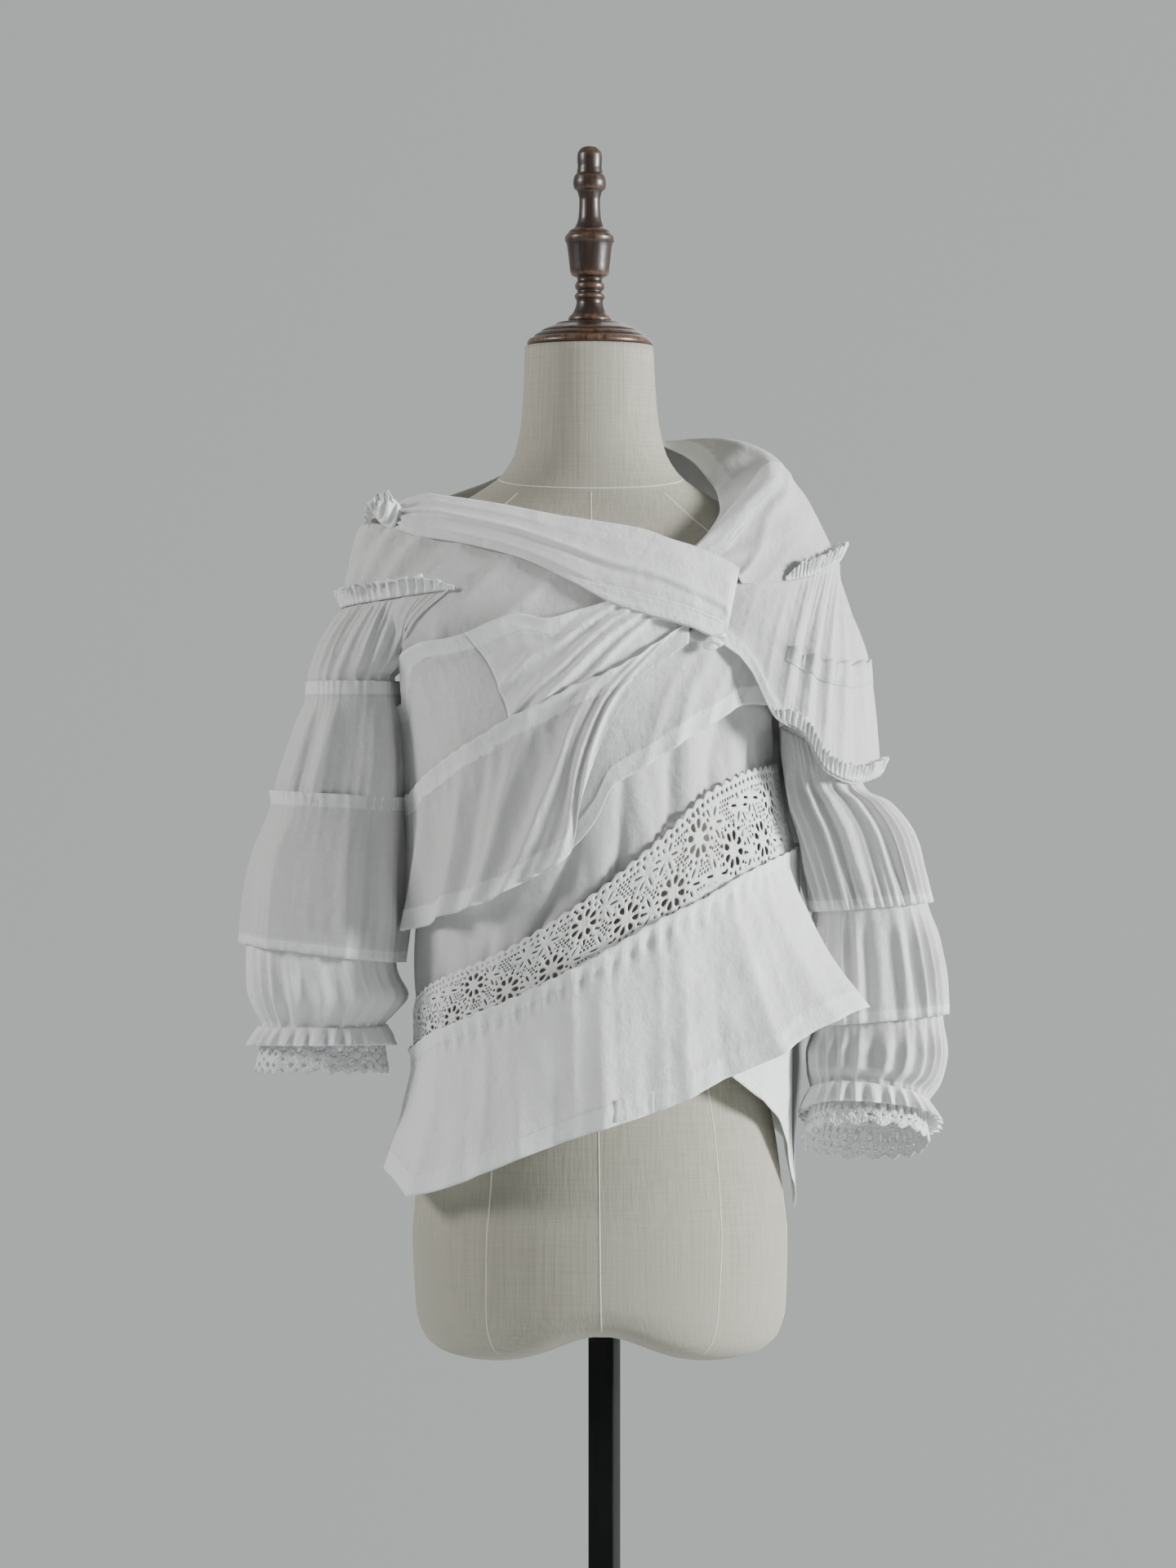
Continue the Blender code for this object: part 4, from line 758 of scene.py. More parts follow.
panel("tier_right_cloth", -12, 90 - SLIP, TIER_RIGHT, TIER_RIGHT_LEVELS, voile, ["tier_right"],
      TIER_RIGHT_FOLDS, lambda angle, share, z: 1.4 * share * wear(angle, z, 22, 14), hem=17.0)
panel("tier_left_cloth", -90 + SLIP, 26, TIER_LEFT, TIER_LEVELS, voile, ["tier_left"],
      TIER_LEFT_FOLDS, tier_relief, hem=18.0, heading=18.0)
panel("tier_back_cloth", 90 + SLIP, 270 - SLIP, TIER_BACK, TIER_LEVELS, voile, ["tier_back"],
      TIER_BACK_FOLDS, tier_relief, hem=12.0, heading=12.5, step=BACK_CELL)


# The yoke and the back: plain voile that lies close over the bust and shoulder,
# pulled by the sleeve's gathered seam, and a lawn back bodice below the neckline.
FRONT_YOKE = table(
    "angle top bottom",
    (-94, 1374, 1302), (-72, 1374, 1302), (-66, 1373, 1246), (-52, 1370, 1254), (-36, 1362, 1262),
    (-30, 1360, 1262), (-12, 1352, 1278), (0, 1346, 1290), (15, 1338, 1300), (30, 1326, 1302),
)
YOKE_LEVELS = table("share lift", (0, 0), (1, 0))
YOKE_FOLDS = table(
    "top bottom width high low",
    (-30, -62, 3.4, 3.6, 3.2), (-42, -74, 3.0, 4.6, 3.0), (-54, -84, 3.4, 5.0, 2.2),
    (-66, -90, 3.0, 4.6, 1.6), (-14, -46, 3.6, 2.6, 3.4), (2, -26, 3.6, 2.0, 3.0),
    (-22, -40, 2.4, -1.4, -1.6), (-60, -66, 2.2, -1.5, 2.6),
)
BACK_BODICE = table(
    "angle top bottom",
    (96, 1318, 1236), (120, 1330, 1236), (138, 1372, 1232), (160, 1408, 1222), (180, 1424, 1208),
    (205, 1436, 1188), (222, 1428, 1176), (236, 1405, 1172), (242, 1397, 1240), (249, 1387, 1303),
    (265.5, 1374, 1304),
)
BACK_FOLDS = table(
    "top bottom width high low",
    (150, 146, 6, 0, 1.5), (186, 180, 7, 0, 1.5), (216, 226, 5, 1.5, 0.5), (238, 248, 4, 1.5, 0),
)
BACK_LEVELS = table("share lift", (0, 0), (0.36, 0), (0.6, -1), (1, -2))


def yoke_relief(angle, share, z):
    """Creases that slant with the pull of the sleeve's seam."""
    return 1.3 * crumple(angle * CREASE_MM_PER_DEGREE + 0.6 * z, z, 26, 21) + 0.3


panel("front_yoke_cloth", -94, 30, FRONT_YOKE, YOKE_LEVELS, voile, ["front_yoke"], YOKE_FOLDS, yoke_relief,
      fullness=1.02)
panel("back_bodice_cloth", 96, 265.5, BACK_BODICE, BACK_LEVELS, lawn, ["back_bodice"], BACK_FOLDS,
      lambda angle, share, z: 0.5 * wear(angle, z, 38, 22) * share,
      heading=11.0, fullness=1.02, step=BACK_CELL)


# The chest panels: the left one is sheer voile, the right one whiter lawn, and they
# meet in a slanted seam. Their folded headings stand on the yoke.
CHEST = table(
    "angle top bottom",
    (-142, 1240, 1176), (-129, 1232, 1168), (-110, 1224, 1150), (-90, 1221, 1136),
    (-72, 1224, 1140), (-66, 1248, 1145), (-60, 1262, 1151), (-45, 1274, 1170),
    (-38, 1276, 1178), (-30, 1281, 1188), (-22, 1290, 1200), (-15, 1296, 1210),
    (-9, 1292, 1218), (0, 1300, 1231), (8, 1308, 1243), (18, 1310, 1264), (26, 1306, 1285),
)
CHEST_LEVELS = table("share lift", (0, 5.4), (0.12, 3.0), (0.5, 2.5), (1, 2.1))
CHEST_LEFT_FOLDS = table(
    "top bottom width high low",
    (-58, -50, 3, 1.2, 1.4), (-80, -84, 4, 1.4, 1.6), (-69, -64, 2.4, 1.4, 0.6), (-46, -40, 2.4, 0.8, 1.6),
)
CHEST_RIGHT_FOLDS = table(
    "top bottom width high low",
    (24, -20, 3.4, 8.0, 3.6), (18, -30, 2.8, 6.0, 3.0), (12, -56, 3.4, 4.5, 2.0), (28, -6, 2.2, 6.0, 3.0),
    (0, -30, 2.2, -1.6, 1.8),
)
CHEST_EDGE = -31.0
CHEST_SEAM_HALF = math.degrees(0.15 / 140)
CHEST_SLANT = 8.5
CHEST_HEADING = 16.5
CHEST_ROWS = 44
CHEST_COLUMNS_PER_DEGREE = 2.8 / 2.5


def chest_panel(name, node, start, end, slant_start, slant_end, finish, extra, folds, seed):
    """One chest panel, whose side edges slant by some degrees from top to bottom."""
    columns = int((end - start) * CHEST_COLUMNS_PER_DEGREE)
    angle = np.linspace(start, end, columns)[None, :]
    along = (angle - start) / (end - start)
    share = np.linspace(0, 1, CHEST_ROWS)[:, None]
    angle = angle + share * (slant_start * (1 - along) + slant_end * along)
    top, bottom = read(CHEST, "angle", "top", angle), read(CHEST, "angle", "bottom", angle)
    z = top + (bottom - top) * share
    lift = smooth(share, CHEST_LEVELS["share"], CHEST_LEVELS["lift"]) + extra * (1 - share)
    lift = lift + ridges(angle, share, folds) + stepped_band(top - z, CHEST_HEADING, 0.4)
    lift = lift + 0.35 * np.exp(-(((share - 0.22) / 0.12) ** 2)) * gathers(np.radians(angle), 70, seed)
    lift = lift + 1.1 * wear(angle, z, 22, seed)
    cloth(name, hull(angle, z, lift), finish, [node], 1.08, heading=CHEST_HEADING)


chest_panel("chest_panel_left_cloth", "chest_panel_left", -142, CHEST_EDGE - CHEST_SEAM_HALF,
            0, CHEST_SLANT, voile, 0, CHEST_LEFT_FOLDS, 31)
chest_panel("chest_panel_right_cloth", "chest_panel_right", CHEST_EDGE + CHEST_SEAM_HALF, 26,
            CHEST_SLANT, 0, lawn, 1, CHEST_RIGHT_FOLDS, 32)


# The lace: a torchon band of white cotton thread, sewn in between the layer above
# and the flounce. Its flowers, net and eyelets are open, and its upper edge is scalloped.
LACE_EDGES = table(
    "angle top bottom",
    (-90, 969, 929), (-75, 985, 934), (-34, 1020, 967), (-8, 1061, 1002), (17, 1114, 1042),
    (40, 1157, 1071), (62, 1172, 1090), (90, 1175, 1099), (120, 1168, 1096), (150, 1140, 1071),
    (180, 1090, 1023), (210, 1040, 977), (240, 1000, 941), (270, 969, 929),
)
LACE_WIDTH = 59.0
LACE_REPEAT = 97.0
LACE_REPEATS = 5
LACE_CELL = {"front": 0.90, "back": 1.45}
LACE_LIFT = 2.4
LACE_SEAM = 8.2
FLOWER_RADIUS = 14.7
FLOWERS = ((0.33, 0.33), (0.67, 0.63), (0.06, 0.68))
FLOWER_PETALS = 8
LEAVES = ((0.50, 0.30), (0.85, 0.28), (0.20, 0.72), (0.48, 0.78), (0.02, 0.26), (0.88, 0.74))
NET_PITCH = 2.9
NET_GAP = 1.02


def folded(angle, count):
    """An angle brought into one of count equal sectors, measured from that sector's middle."""
    sector = math.tau / count
    return np.mod(angle, sector) - sector / 2


def flower_gaps(x, y, petals):
    """Signed distance to a flower's gaps: ovals between its petals, eyelets in its heart, and a rim."""
    radius, turn = np.hypot(x, y), np.arctan2(y, x)
    side = folded(turn, petals)
    out, off = radius * np.cos(side) - 7.6, radius * np.sin(side)
    oval_gap = (np.hypot(out / 2.9, off / np.maximum(1.75 + 0.24 * out, 0.5)) - 1) * 1.7
    side = folded(turn + 0.2, 2 * petals)
    rim = np.hypot(radius * np.cos(side) - 13.2, radius * np.sin(side)) - 1.15
    side = folded(turn, 4)
    heart = np.hypot(radius * np.cos(side) - 1.9, radius * np.sin(side)) - 0.62
    return np.minimum(np.minimum(oval_gap, rim), heart)


def net_gaps(x, y, pitch, gap):
    """Signed distance to the gaps of a net whose meshes lie in staggered rows."""
    rise = pitch * math.sqrt(3) / 2
    line = np.round(y / rise)
    shift = np.where(np.mod(line, 2) > 0.5, pitch / 2, 0.0)
    return np.hypot(np.mod(x - shift + pitch / 2, pitch) - pitch / 2, y - line * rise) - gap


def leaf_gaps(x, y, leaves):
    """Signed distance to slits between close-woven leaves that stand in a ring, and which cells are leaf."""
    radius, turn = np.hypot(x, y), np.arctan2(y, x)
    side = folded(turn + 0.35, leaves)
    out, off = radius * np.cos(side) - 7.2, radius * np.sin(side)
    leaf = np.hypot(out / 6.6, off / 2.9) - 1
    slit = (np.hypot(out / 4.0, off / 0.75) - 1) * 0.75
    return slit, leaf < 0.06


def lace_gaps(s, t):
    """Signed distance to the nearest gap of the lace, in millimetres; thread is where it is positive."""
    s = np.mod(s, LACE_REPEAT)
    inside = (t > LACE_SEAM) & (t < LACE_WIDTH - LACE_SEAM)
    field = np.where(inside, net_gaps(s, t, NET_PITCH, NET_GAP), 9.0)
    for along, down in LEAVES:
        x = np.mod(s - along * LACE_REPEAT + LACE_REPEAT / 2, LACE_REPEAT) - LACE_REPEAT / 2
        slit, leaf = leaf_gaps(x, t - down * LACE_WIDTH, 6)
        field = np.where(inside & leaf, slit, field)
    for along, down in FLOWERS:
        x = np.mod(s - along * LACE_REPEAT + LACE_REPEAT / 2, LACE_REPEAT) - LACE_REPEAT / 2
        y = t - down * LACE_WIDTH
        field = np.where(np.hypot(x, y) < FLOWER_RADIUS, flower_gaps(x, y, FLOWER_PETALS), field)
    for middle, pitch, gap in ((5.2, 5.6, 1.25), (LACE_WIDTH - 4.2, 5.0, 1.05)):
        x = np.mod(s, pitch) - pitch / 2
        field = np.minimum(field, np.hypot(x, t - middle) - gap)
    scallop = 2.6 * (1 - np.abs(np.sin(np.pi * s / (LACE_REPEAT / 9))))
    return np.minimum(field, (t - scallop) * 0.9)


def rim_shift(s, t, gaps, field, cell):
    """How far a point moves to lie on a gap's edge: down the slope of the distance, within a cell."""
    probe = 0.15
    slope_s = (gaps(s + probe, t) - gaps(s - probe, t)) / (2 * probe)
    slope_t = (gaps(s, t + probe) - gaps(s, t - probe)) / (2 * probe)
    steep = np.maximum(slope_s**2 + slope_t**2, 0.2)
    step = np.clip(field / steep, -0.75 * cell, 0.75 * cell)
    return step * slope_s, step * slope_t


def openwork(name, run, depth, cell, gaps, surface, finish, nodes, closed, thick):
    """Openwork on a surface: cells whose middle lies in a gap are left out, and the rim is moved onto it.

    surface(s, t, lift) gives a point from the distances along and down, and gaps(s, t) is the
    signed distance to the nearest gap. The thread swells by a share of that distance.
    """
    columns, rows = int(run / cell), int(depth / cell) + 1
    s = np.linspace(0, run, columns, endpoint=not closed)[None, :] + np.zeros((rows, 1))
    t = np.linspace(0, depth, rows)[:, None] + np.zeros((1, columns))
    field = gaps(s, t)
    quads = grid_quads(rows, columns, closed)
    kept = field.ravel()[quads].mean(1) > 0
    count = rows * columns
    used = np.bincount(quads[kept].ravel(), minlength=count) > 0
    dropped = np.bincount(quads[~kept].ravel(), minlength=count) > 0
    rim = (used & dropped).reshape(rows, columns)
    shift_s, shift_t = rim_shift(s, t, gaps, field, cell)
    s, t = s - shift_s * rim, np.clip(t - shift_t * rim, 0, depth)
    lift = 0.45 * np.clip(gaps(s, t) / 1.0, 0, 1)
    points = surface(s, t, lift).reshape(-1, 3)
    quads = quads[kept]
    ends = np.stack([s.ravel()[quads], t.ravel()[quads]], -1) * 0.001
    numbers = np.cumsum(used) - 1
    piece = new_piece(name, points[used], numbers[quads].tolist(), finish, nodes, ends.reshape(-1, 2))
    thicken(piece, thick)
    return piece


def lace_thread():
    """Mercerised cotton thread: short twists with painted glints of light on them, on a dull white."""
    finish, tree, shader = new_finish("lace_thread", Roughness=0.85, Sheen_Weight=0.15)
    twist_and_glint = noise(tree, place(tree, (1, 1, 1)), 1500.0, 3.0, 0.6)
    broad = noise(tree, place(tree, (1, 1, 1)), 160.0, 3.0)
    # painted glints: the colour is paler where the twist noise is high; the same noise also gives the
    # thread's bump
    colour = mixed(tree, ramp(tree, twist_and_glint, 0.35, 0.65), (0.79, 0.79, 0.80), (0.93, 0.93, 0.93))
    colour = mixed(tree, ramp(tree, broad, 0.3, 0.8), colour, (0.86, 0.86, 0.86))
    tree.links.new(colour, shader.inputs["Base Color"])
    height = maths(tree, "MULTIPLY", twist_and_glint, 0.0004)
    bump(tree, shader, maths(tree, "MULTIPLY_ADD", broad, 0.0005, height))
    return finish


thread = lace_thread()
lace_run = LACE_REPEAT * LACE_REPEATS
for side, start in (("front", -90.0), ("back", 90.0)):

    def lace_surface(s, t, lift, start=start):
        """The band round the body: distance along becomes angle, distance down becomes height."""
        angle = start + SLIP + (180.0 - 2 * SLIP) * s / lace_run
        high, low = read(LACE_EDGES, "angle", "top", angle), read(LACE_EDGES, "angle", "bottom", angle)
        wave = 0.8 * np.sin(angle * 0.55) + 0.5 * np.sin(angle * 1.3 + 1)
        return hull(angle, high + (low - high) * t / LACE_WIDTH, LACE_LIFT + lift + 0.3 * wave)

    openwork(f"lace_{side}_thread", lace_run, LACE_WIDTH, LACE_CELL[side], lace_gaps, lace_surface, thread,
             [f"lace_{side}"], False, 0.8)


# The flounce: a crisp opaque width of lawn, gathered a little under its heading,
# with a deep stitched hem that stands off to the right and a patch on that hem.
PEPLUM = table(
    "angle top bottom flare",
    (-90, 936, 850, 13), (-75, 942, 835, 12), (-62, 953, 821, 9), (-50, 962, 827, 7),
    (-34, 977, 842, 7), (-8, 1011, 872, 8), (17, 1051, 897, 12), (30, 1067, 916, 20),
    (40, 1081, 931, 30), (50, 1091, 951, 44), (60, 1098, 969, 60), (68, 1102, 976, 68),
    (72, 1104, 975, 40), (78, 1106, 968, 14), (84, 1108, 900, 4), (90, 1109, 822, 2),
    (97, 1109, 804, 4), (106, 1108, 830, 7), (118, 1106, 862, 10), (135, 1094, 885, 14),
    (150, 1081, 905, 16), (180, 1033, 925, 14), (220, 974, 880, 14), (250, 944, 846, 15),
    (270, 936, 850, 13),
)
PEPLUM_LEVELS = table("share lift", (0, 7.4), (0.10, 4.2), (0.38, 5.6), (0.7, 6.2), (1, 7.0))
PEPLUM_HEM = 18.5
TAIL = table(
    "angle top bottom flare",
    (42, 985, 920, 0), (48, 988, 911, 0), (54, 990, 902, 0), (62, 993, 891, 1), (68, 995, 882, 2),
    (72, 997, 866, 3), (76, 998, 850, 4), (82, 1000, 832, 5.5), (89.9, 1002, 822, 7.5),
)
TAIL_LEVELS = table("share lift", (0, 0.5), (1, 2.0))
TAIL_FOLDS = table("top bottom width high low", (60, 56, 3, 0, 2.5), (76, 73, 3, 0, 2.5))
TAIL_CELL = 3.4
PATCH_EDGES = table("angle top bottom", (3.5, 904, 886), (14, 911, 894))
PEPLUM_FRONT_FOLDS = table(
    "top bottom width high low",
    (38, 45, 3.4, 1.5, 9), (21, 23, 3.2, 1.6, 6), (-2, 1, 3, 1.6, 4.5), (-30, -22, 4, 1.2, 5),
    (-56, -60, 4, 1.2, 6), (30, 33, 2.2, 0.5, -3.0), (9, 13, 2.2, 0.8, -2.6), (-16, -12, 2.6, 0.8, -2.8),
    (-44, -40, 2.6, 0.8, -2.8), (2.6, 6.8, 0.4, 1.1, 1.1), (-72, -80, 4, 0.5, 5), (52, 58, 2.6, 1.0, 4),
    (46, 51, 1.6, 1.8, 1.0), (15, 17, 1.4, 2.0, 1.2), (-10, -7, 1.6, 2.0, 1.0), (-37, -34, 1.8, 1.8, 1.0),
)
PEPLUM_BACK_FOLDS = table(
    "top bottom width high low",
    (150, 146, 5, 1.5, 9), (182, 186, 5, 1.5, 10), (214, 210, 5, 1.5, 9), (244, 248, 4.5, 1.5, 8),
    (134, 131, 3, 1, 4), (232, 229, 3, 1, 4), (120, 117, 3, 1, 3),
    (166, 167, 3, 0.5, -2), (198, 199, 3, 0.5, -2), (230, 228, 3, 0.5, -2),
)


def peplum_relief(angle, share, z):
    """Puckers on both sides of the heading's stitches, and crisp creases lower down."""
    turn = np.radians(angle)
    pucker = np.exp(-(((share - 0.10) / 0.065) ** 2)) * gathers(turn, 74, 41)
    return 1.7 * pucker + (1.4 + 2.4 * share) * wear(angle, z, 23, 42)


def hem_patch():
    """A small patch on the flounce: the flounce's own surface at the same share down, 1.3 mm further out."""
    angle, share = np.linspace(3.5, 14.0, 16)[None, :], np.linspace(0, 1, 12)[:, None]
    top, bottom = read(PATCH_EDGES, "angle", "top", angle), read(PATCH_EDGES, "angle", "bottom", angle)
    z = top + (bottom - top) * share
    high, low = read(PEPLUM, "angle", "top", angle), read(PEPLUM, "angle", "bottom", angle)
    down = (high - z) / (high - low)
    lift = smooth(down, PEPLUM_LEVELS["share"], PEPLUM_LEVELS["lift"]) + 1.3
    lift = lift + read(PEPLUM, "angle", "flare", angle) * down**1.5 + ridges(angle, down, PEPLUM_FRONT_FOLDS)
    return hull(angle, z, lift + peplum_relief(angle, down, z) + 0.3 * np.sin(share * 9))


for side, start, folds in (("front", -90.0, PEPLUM_FRONT_FOLDS), ("back", 90.0, PEPLUM_BACK_FOLDS)):
    panel(f"peplum_{side}_cloth", start + SLIP, start + 180 - SLIP, PEPLUM, PEPLUM_LEVELS, lawn,
          [f"peplum_{side}"], folds, peplum_relief, hem=PEPLUM_HEM, heading=12.0,
          step=CELL if side == "front" else BACK_CELL)
panel("peplum_tail_cloth", 42, 89.9, TAIL, TAIL_LEVELS, lawn, [], TAIL_FOLDS,
      lambda angle, share, z: 1.2 * wear(angle, z, 24, 45), hem=11.0, step=TAIL_CELL)
cloth("hem_patch_cloth", hem_patch(), lawn, ["hem_patch"], 1.02, hem=2.2, heading=2.2,
      thick=0.8)


# The sash: a folded band of lawn that runs from the knot on the left shoulder down
# to a seam at the right, with soft folds along it and a stitched band on its lower edge.
SASH = table(
    "x_up z_up x_low z_low lift",
    (-171, 1391, -171, 1367, 5), (-160, 1396, -154, 1361, 4), (-145.9, 1398, -133.3, 1357.5, 4),
    (-132, 1395.6, -113.4, 1353.7, 4), (-86, 1387.6, -69.5, 1341.8, 5), (-40, 1378, -26.8, 1322, 7.5),
    (-6.3, 1372.5, 10.2, 1302, 9), (30.6, 1366, 54.4, 1288.7, 11), (54.4, 1357.3, 72.2, 1283.4, 12),
    (76.2, 1350.7, 86.7, 1276.8, 10.4), (96.6, 1342, 94.6, 1273.5, 10.4), (109.8, 1334, 97.3, 1271.5, 10.4),
)
SASH_CREASES = table(
    "start end width high low",
    (0.14, 0.24, 0.05, 1.8, 0.3), (0.34, 0.58, 0.05, 4.2, 1.2), (0.42, 0.68, 0.05, -1.8, -0.5),
    (0.74, 0.88, 0.05, 1.4, 0.2),
)
SASH_COLUMNS = 150
SASH_ROWS = 38
SASH_RUN = 290
SASH_DEPTH = 60
BAND_START = 0.44
BAND_LOW = 0.985


def on_front(x, z, lift):
    """The point at x and z in the front view, lift outside the oval."""
    left, right = read(HULL, "z", "left", z), read(HULL, "z", "right", z)
    sine = np.clip((x - (left + right) / 2) / ((right - left) / 2 + lift), -0.999, 0.999)
    y = -(read(HULL, "z", "front", z) + lift) * np.sqrt(1 - sine**2)
    return np.stack(np.broadcast_arrays(x, y, z), -1)


def sash_points(along, across, lift):
    """Points of the sash: along from the knot to the seam, across from its upper to its lower edge.

    Its height is a broad crown, the listed creases along it, and short pulls at
    the knot and at the lower half of the seam. The crown sinks towards both ends.
    """
    rows = np.arange(len(SASH["lift"]), dtype=float)
    at = along * rows[-1]
    x_up, z_up, x_low, z_low, base = (smooth(at, rows, column) for column in SASH.values())
    x, z = x_up + (x_low - x_up) * across, z_up + (z_low - z_up) * across
    banded = np.clip((along - 0.40) / 0.12, 0, 1)
    reach = np.clip(across / (1 - 0.22 * banded), 0, 1)
    crown = 4.6 * np.sin(np.pi * reach) ** 0.55
    for start, end, width, high, low in zip(*SASH_CREASES.values()):
        middle = start + (end - start) * along
        crown = crown + (high + (low - high) * along) * np.exp(-(((across - middle) / width) ** 2))
    knot_pull = np.exp(-along / 0.07) * np.cos(across * 34 + 3 * along) * 1.8
    low_share = np.clip((across - 0.45) / 0.3, 0, 1)
    seam_pull = np.clip((along - 0.86) / 0.14, 0, 1) * low_share * np.cos(across * 34 + 1 + 9 * along) * 1.0
    crown = crown * (1 - 0.7 * np.clip((along - 0.94) / 0.06, 0, 1) ** 2)
    return on_front(x, z, base + crown * np.clip(along / 0.03, 0.3, 1) + knot_pull + seam_pull + lift)


def sash_body():
    """The whole sash, with the soft creases of wear."""
    along, across = np.meshgrid(np.linspace(0, 1, SASH_COLUMNS), np.linspace(0, 1, SASH_ROWS))
    return sash_points(along, across, 1.3 * crumple(along * SASH_RUN, across * SASH_DEPTH, 22, 51))


def sash_edge():
    """The band on the sash's lower edge: it starts narrow and deepens over its first part."""
    along, across = np.meshgrid(np.linspace(BAND_START, BAND_LOW, 110), np.linspace(0, 1, 9))
    top = 0.95 - 0.19 * np.clip((along - BAND_START) / 0.12, 0, 1)
    return sash_points(along, top + (BAND_LOW - top) * across, 1.2)


cloth("sash_cloth", sash_body(), lawn, ["sash"], 1.05, thick=0.8)
cloth("sash_band_cloth", sash_edge(), lawn, ["sash_band"], 1.05, hem=2.0, heading=2.0,
      thick=0.8)


# The knot: lawn drawn into small bunches at both ends of the sash, and a gathered
# strip of frill round the knot. The ruffles on the seams are the same strip, longer.
RUFFLE_HEIGHT = 15.0
RUFFLE_ROWS = 7
BUNCH_ROWS = 26
BUNCH_COLUMNS = 96
KNOT_LINE = ((-194, -42, 1368), (-191, -46, 1379), (-184, -50, 1386), (-173, -52, 1389.0))


def resample(line, count):
    """Points at even steps along a line of points."""
    run = np.concatenate([[0], np.cumsum(np.linalg.norm(np.diff(line, axis=0), axis=1))])
    at = np.linspace(0, run[-1], count)
    return np.stack([np.interp(at, run, line[:, k]) for k in range(3)], -1)


def flat_outward(line):
    """Unit directions square to a line, level, on its outer side."""
    run = np.gradient(line, axis=0)
    outward = np.stack([run[:, 1], -run[:, 0], np.zeros(len(line))], -1)
    return outward / np.linalg.norm(outward, axis=-1, keepdims=True)


def ruffle(name, node, line, waves, lean, depth, seed, tall=RUFFLE_HEIGHT):
    """A doubled strip gathered on a seam line.

    Its free edge leans outwards and swings to and fro in uneven waves, with finer
    ones on top, and its points sway along the line. All of it dies out at both ends.
    """
    outward = flat_outward(line)
    share = np.linspace(1, 0, RUFFLE_ROWS)[:, None]
    turn = np.linspace(0, 2 * np.pi, len(line))[None, :]
    ends = np.clip(np.minimum(turn, 2 * np.pi - turn) / 0.5, 0, 1)
    swing = lean * share * ends - depth * ends * share**0.6 * gathers(turn, waves, seed, share)
    swing = swing + 0.3 * depth * ends * share * gathers(turn, 2.3 * waves, seed + 1, share)
    sway = 1.5 * depth * ends * share * gathers(turn + 0.5 / waves, waves, seed + 2, share)
    height = tall * share * (0.25 + 0.75 * ends) * (1 + 0.13 * gathers(turn, 0.6 * waves, seed + 3))
    run = np.gradient(line, axis=0)
    run = run / np.linalg.norm(run, axis=-1, keepdims=True)
    grid = line[None] + swing[..., None] * outward[None] + sway[..., None] * run[None] * 0.5
    grid[..., 2] += height
    cloth(name, grid, lawn, [node] if node else [], 1.15, heading=2.0,
          thick=0.6)


def bunch(name, centre, radii, flutes, depth, tilt, node):
    """Gathered cloth drawn into a small bunch: a tilted egg with twisted, uneven flutes."""
    up = np.linspace(0.08, np.pi - 0.08, BUNCH_ROWS)[:, None]
    turn = np.linspace(0, 2 * np.pi, BUNCH_COLUMNS, endpoint=False)[None, :]
    flute = 1 + depth * np.sin(up) * gathers(turn + 0.7 * np.cos(up), flutes, 61)
    x = radii[0] * np.sin(up) * np.sin(turn) * flute
    y = -radii[1] * np.sin(up) * np.cos(turn) * flute
    z = radii[2] * np.cos(up) + 1.2 * np.sin(up) * np.cos(3 * turn)
    lean = math.radians(tilt)
    tilted_x, tilted_z = x * math.cos(lean) + z * math.sin(lean), z * math.cos(lean) - x * math.sin(lean)
    rings = np.stack([tilted_x, y, tilted_z], -1) + np.array(centre)
    count = rings.shape[0] * rings.shape[1]
    stacked_rings(name, rings, lawn, [node], {"doubled": np.ones(count), "row": np.full(count, 0.1)})


bunch("knot_cloth", (-178, -46, 1382), (13, 8.0, 11.0), 8, 0.36, 50, "knot")
ruffle("knot_frill_cloth", None, resample(np.array(KNOT_LINE), 120), 9, 4.0, 2.6, 62, 10.5)
bunch("sash_end_cloth", (89, -118.8, 1273), (10, 4.5, 5.5), 6, 0.26, -25, "sash_end")


# The collar and right yoke: a wide folded collar of voile that stands off the neck
# behind and lies over the right shoulder. Its stitched facing runs along the inner
# edge and crosses over to the middle in front.
YOKE_SECTIONS = (
    ((-64, 44, 1437), (-65, 47, 1439), (-67, 53, 1433), (-70, 60, 1424)),
    ((-30, 56.2, 1441), (-30, 62, 1446), (-30, 72, 1438), (-30, 82, 1416)),
    ((10, 55.4, 1443), (14, 66, 1449), (18, 78, 1440), (22, 90, 1405)),
    ((40, 50, 1444), (52, 66, 1448), (72, 84, 1428), (95, 98, 1385)),
    ((60, 32, 1437), (84, 46, 1448), (125, 70, 1412), (150, 86, 1350)),
    ((74, 12, 1427), (102, 24, 1447), (150, 40, 1408), (182, 56, 1343)),
    ((86, -8, 1411), (120, 6, 1441), (160, 10, 1406), (194, 16, 1344)),
    ((93, -24, 1399), (137, -8, 1429), (168, -12, 1390), (195, -12, 1343)),
    ((95, -47, 1384), (138, -32, 1412), (163, -40, 1370), (184, -42, 1335)),
    ((86, -68, 1366), (114, -60, 1384), (138, -66, 1352), (161, -64, 1326)),
    ((74, -85, 1353), (94, -80, 1358), (114, -82, 1341), (134, -80, 1322)),
    ((62, -91, 1345), (80, -89, 1347), (98, -91, 1334), (112, -92, 1321)),
)
YOKE_ROW_OVER_ARM = 41
YOKE_FACING = 19.0
YOKE_FRONT_FACING = table(
    "round inner outer fold",
    (0.60, 0.42, 0.46, 0.50), (0.64, 0.39, 0.45, 0.49), (0.70, 0.22, 0.43, 0.47), (0.77, 0.08, 0.42, 0.48),
    (0.84, 0.07, 0.45, 0.60), (0.92, 0.06, 0.49, 0.76), (1, 0.05, 0.52, 0.88),
)
COLLAR_ROWS = 130
COLLAR_COLUMNS = 54
COLLAR_RUN = 420
COLLAR_DEPTH = 120
NO_STITCHES = 30


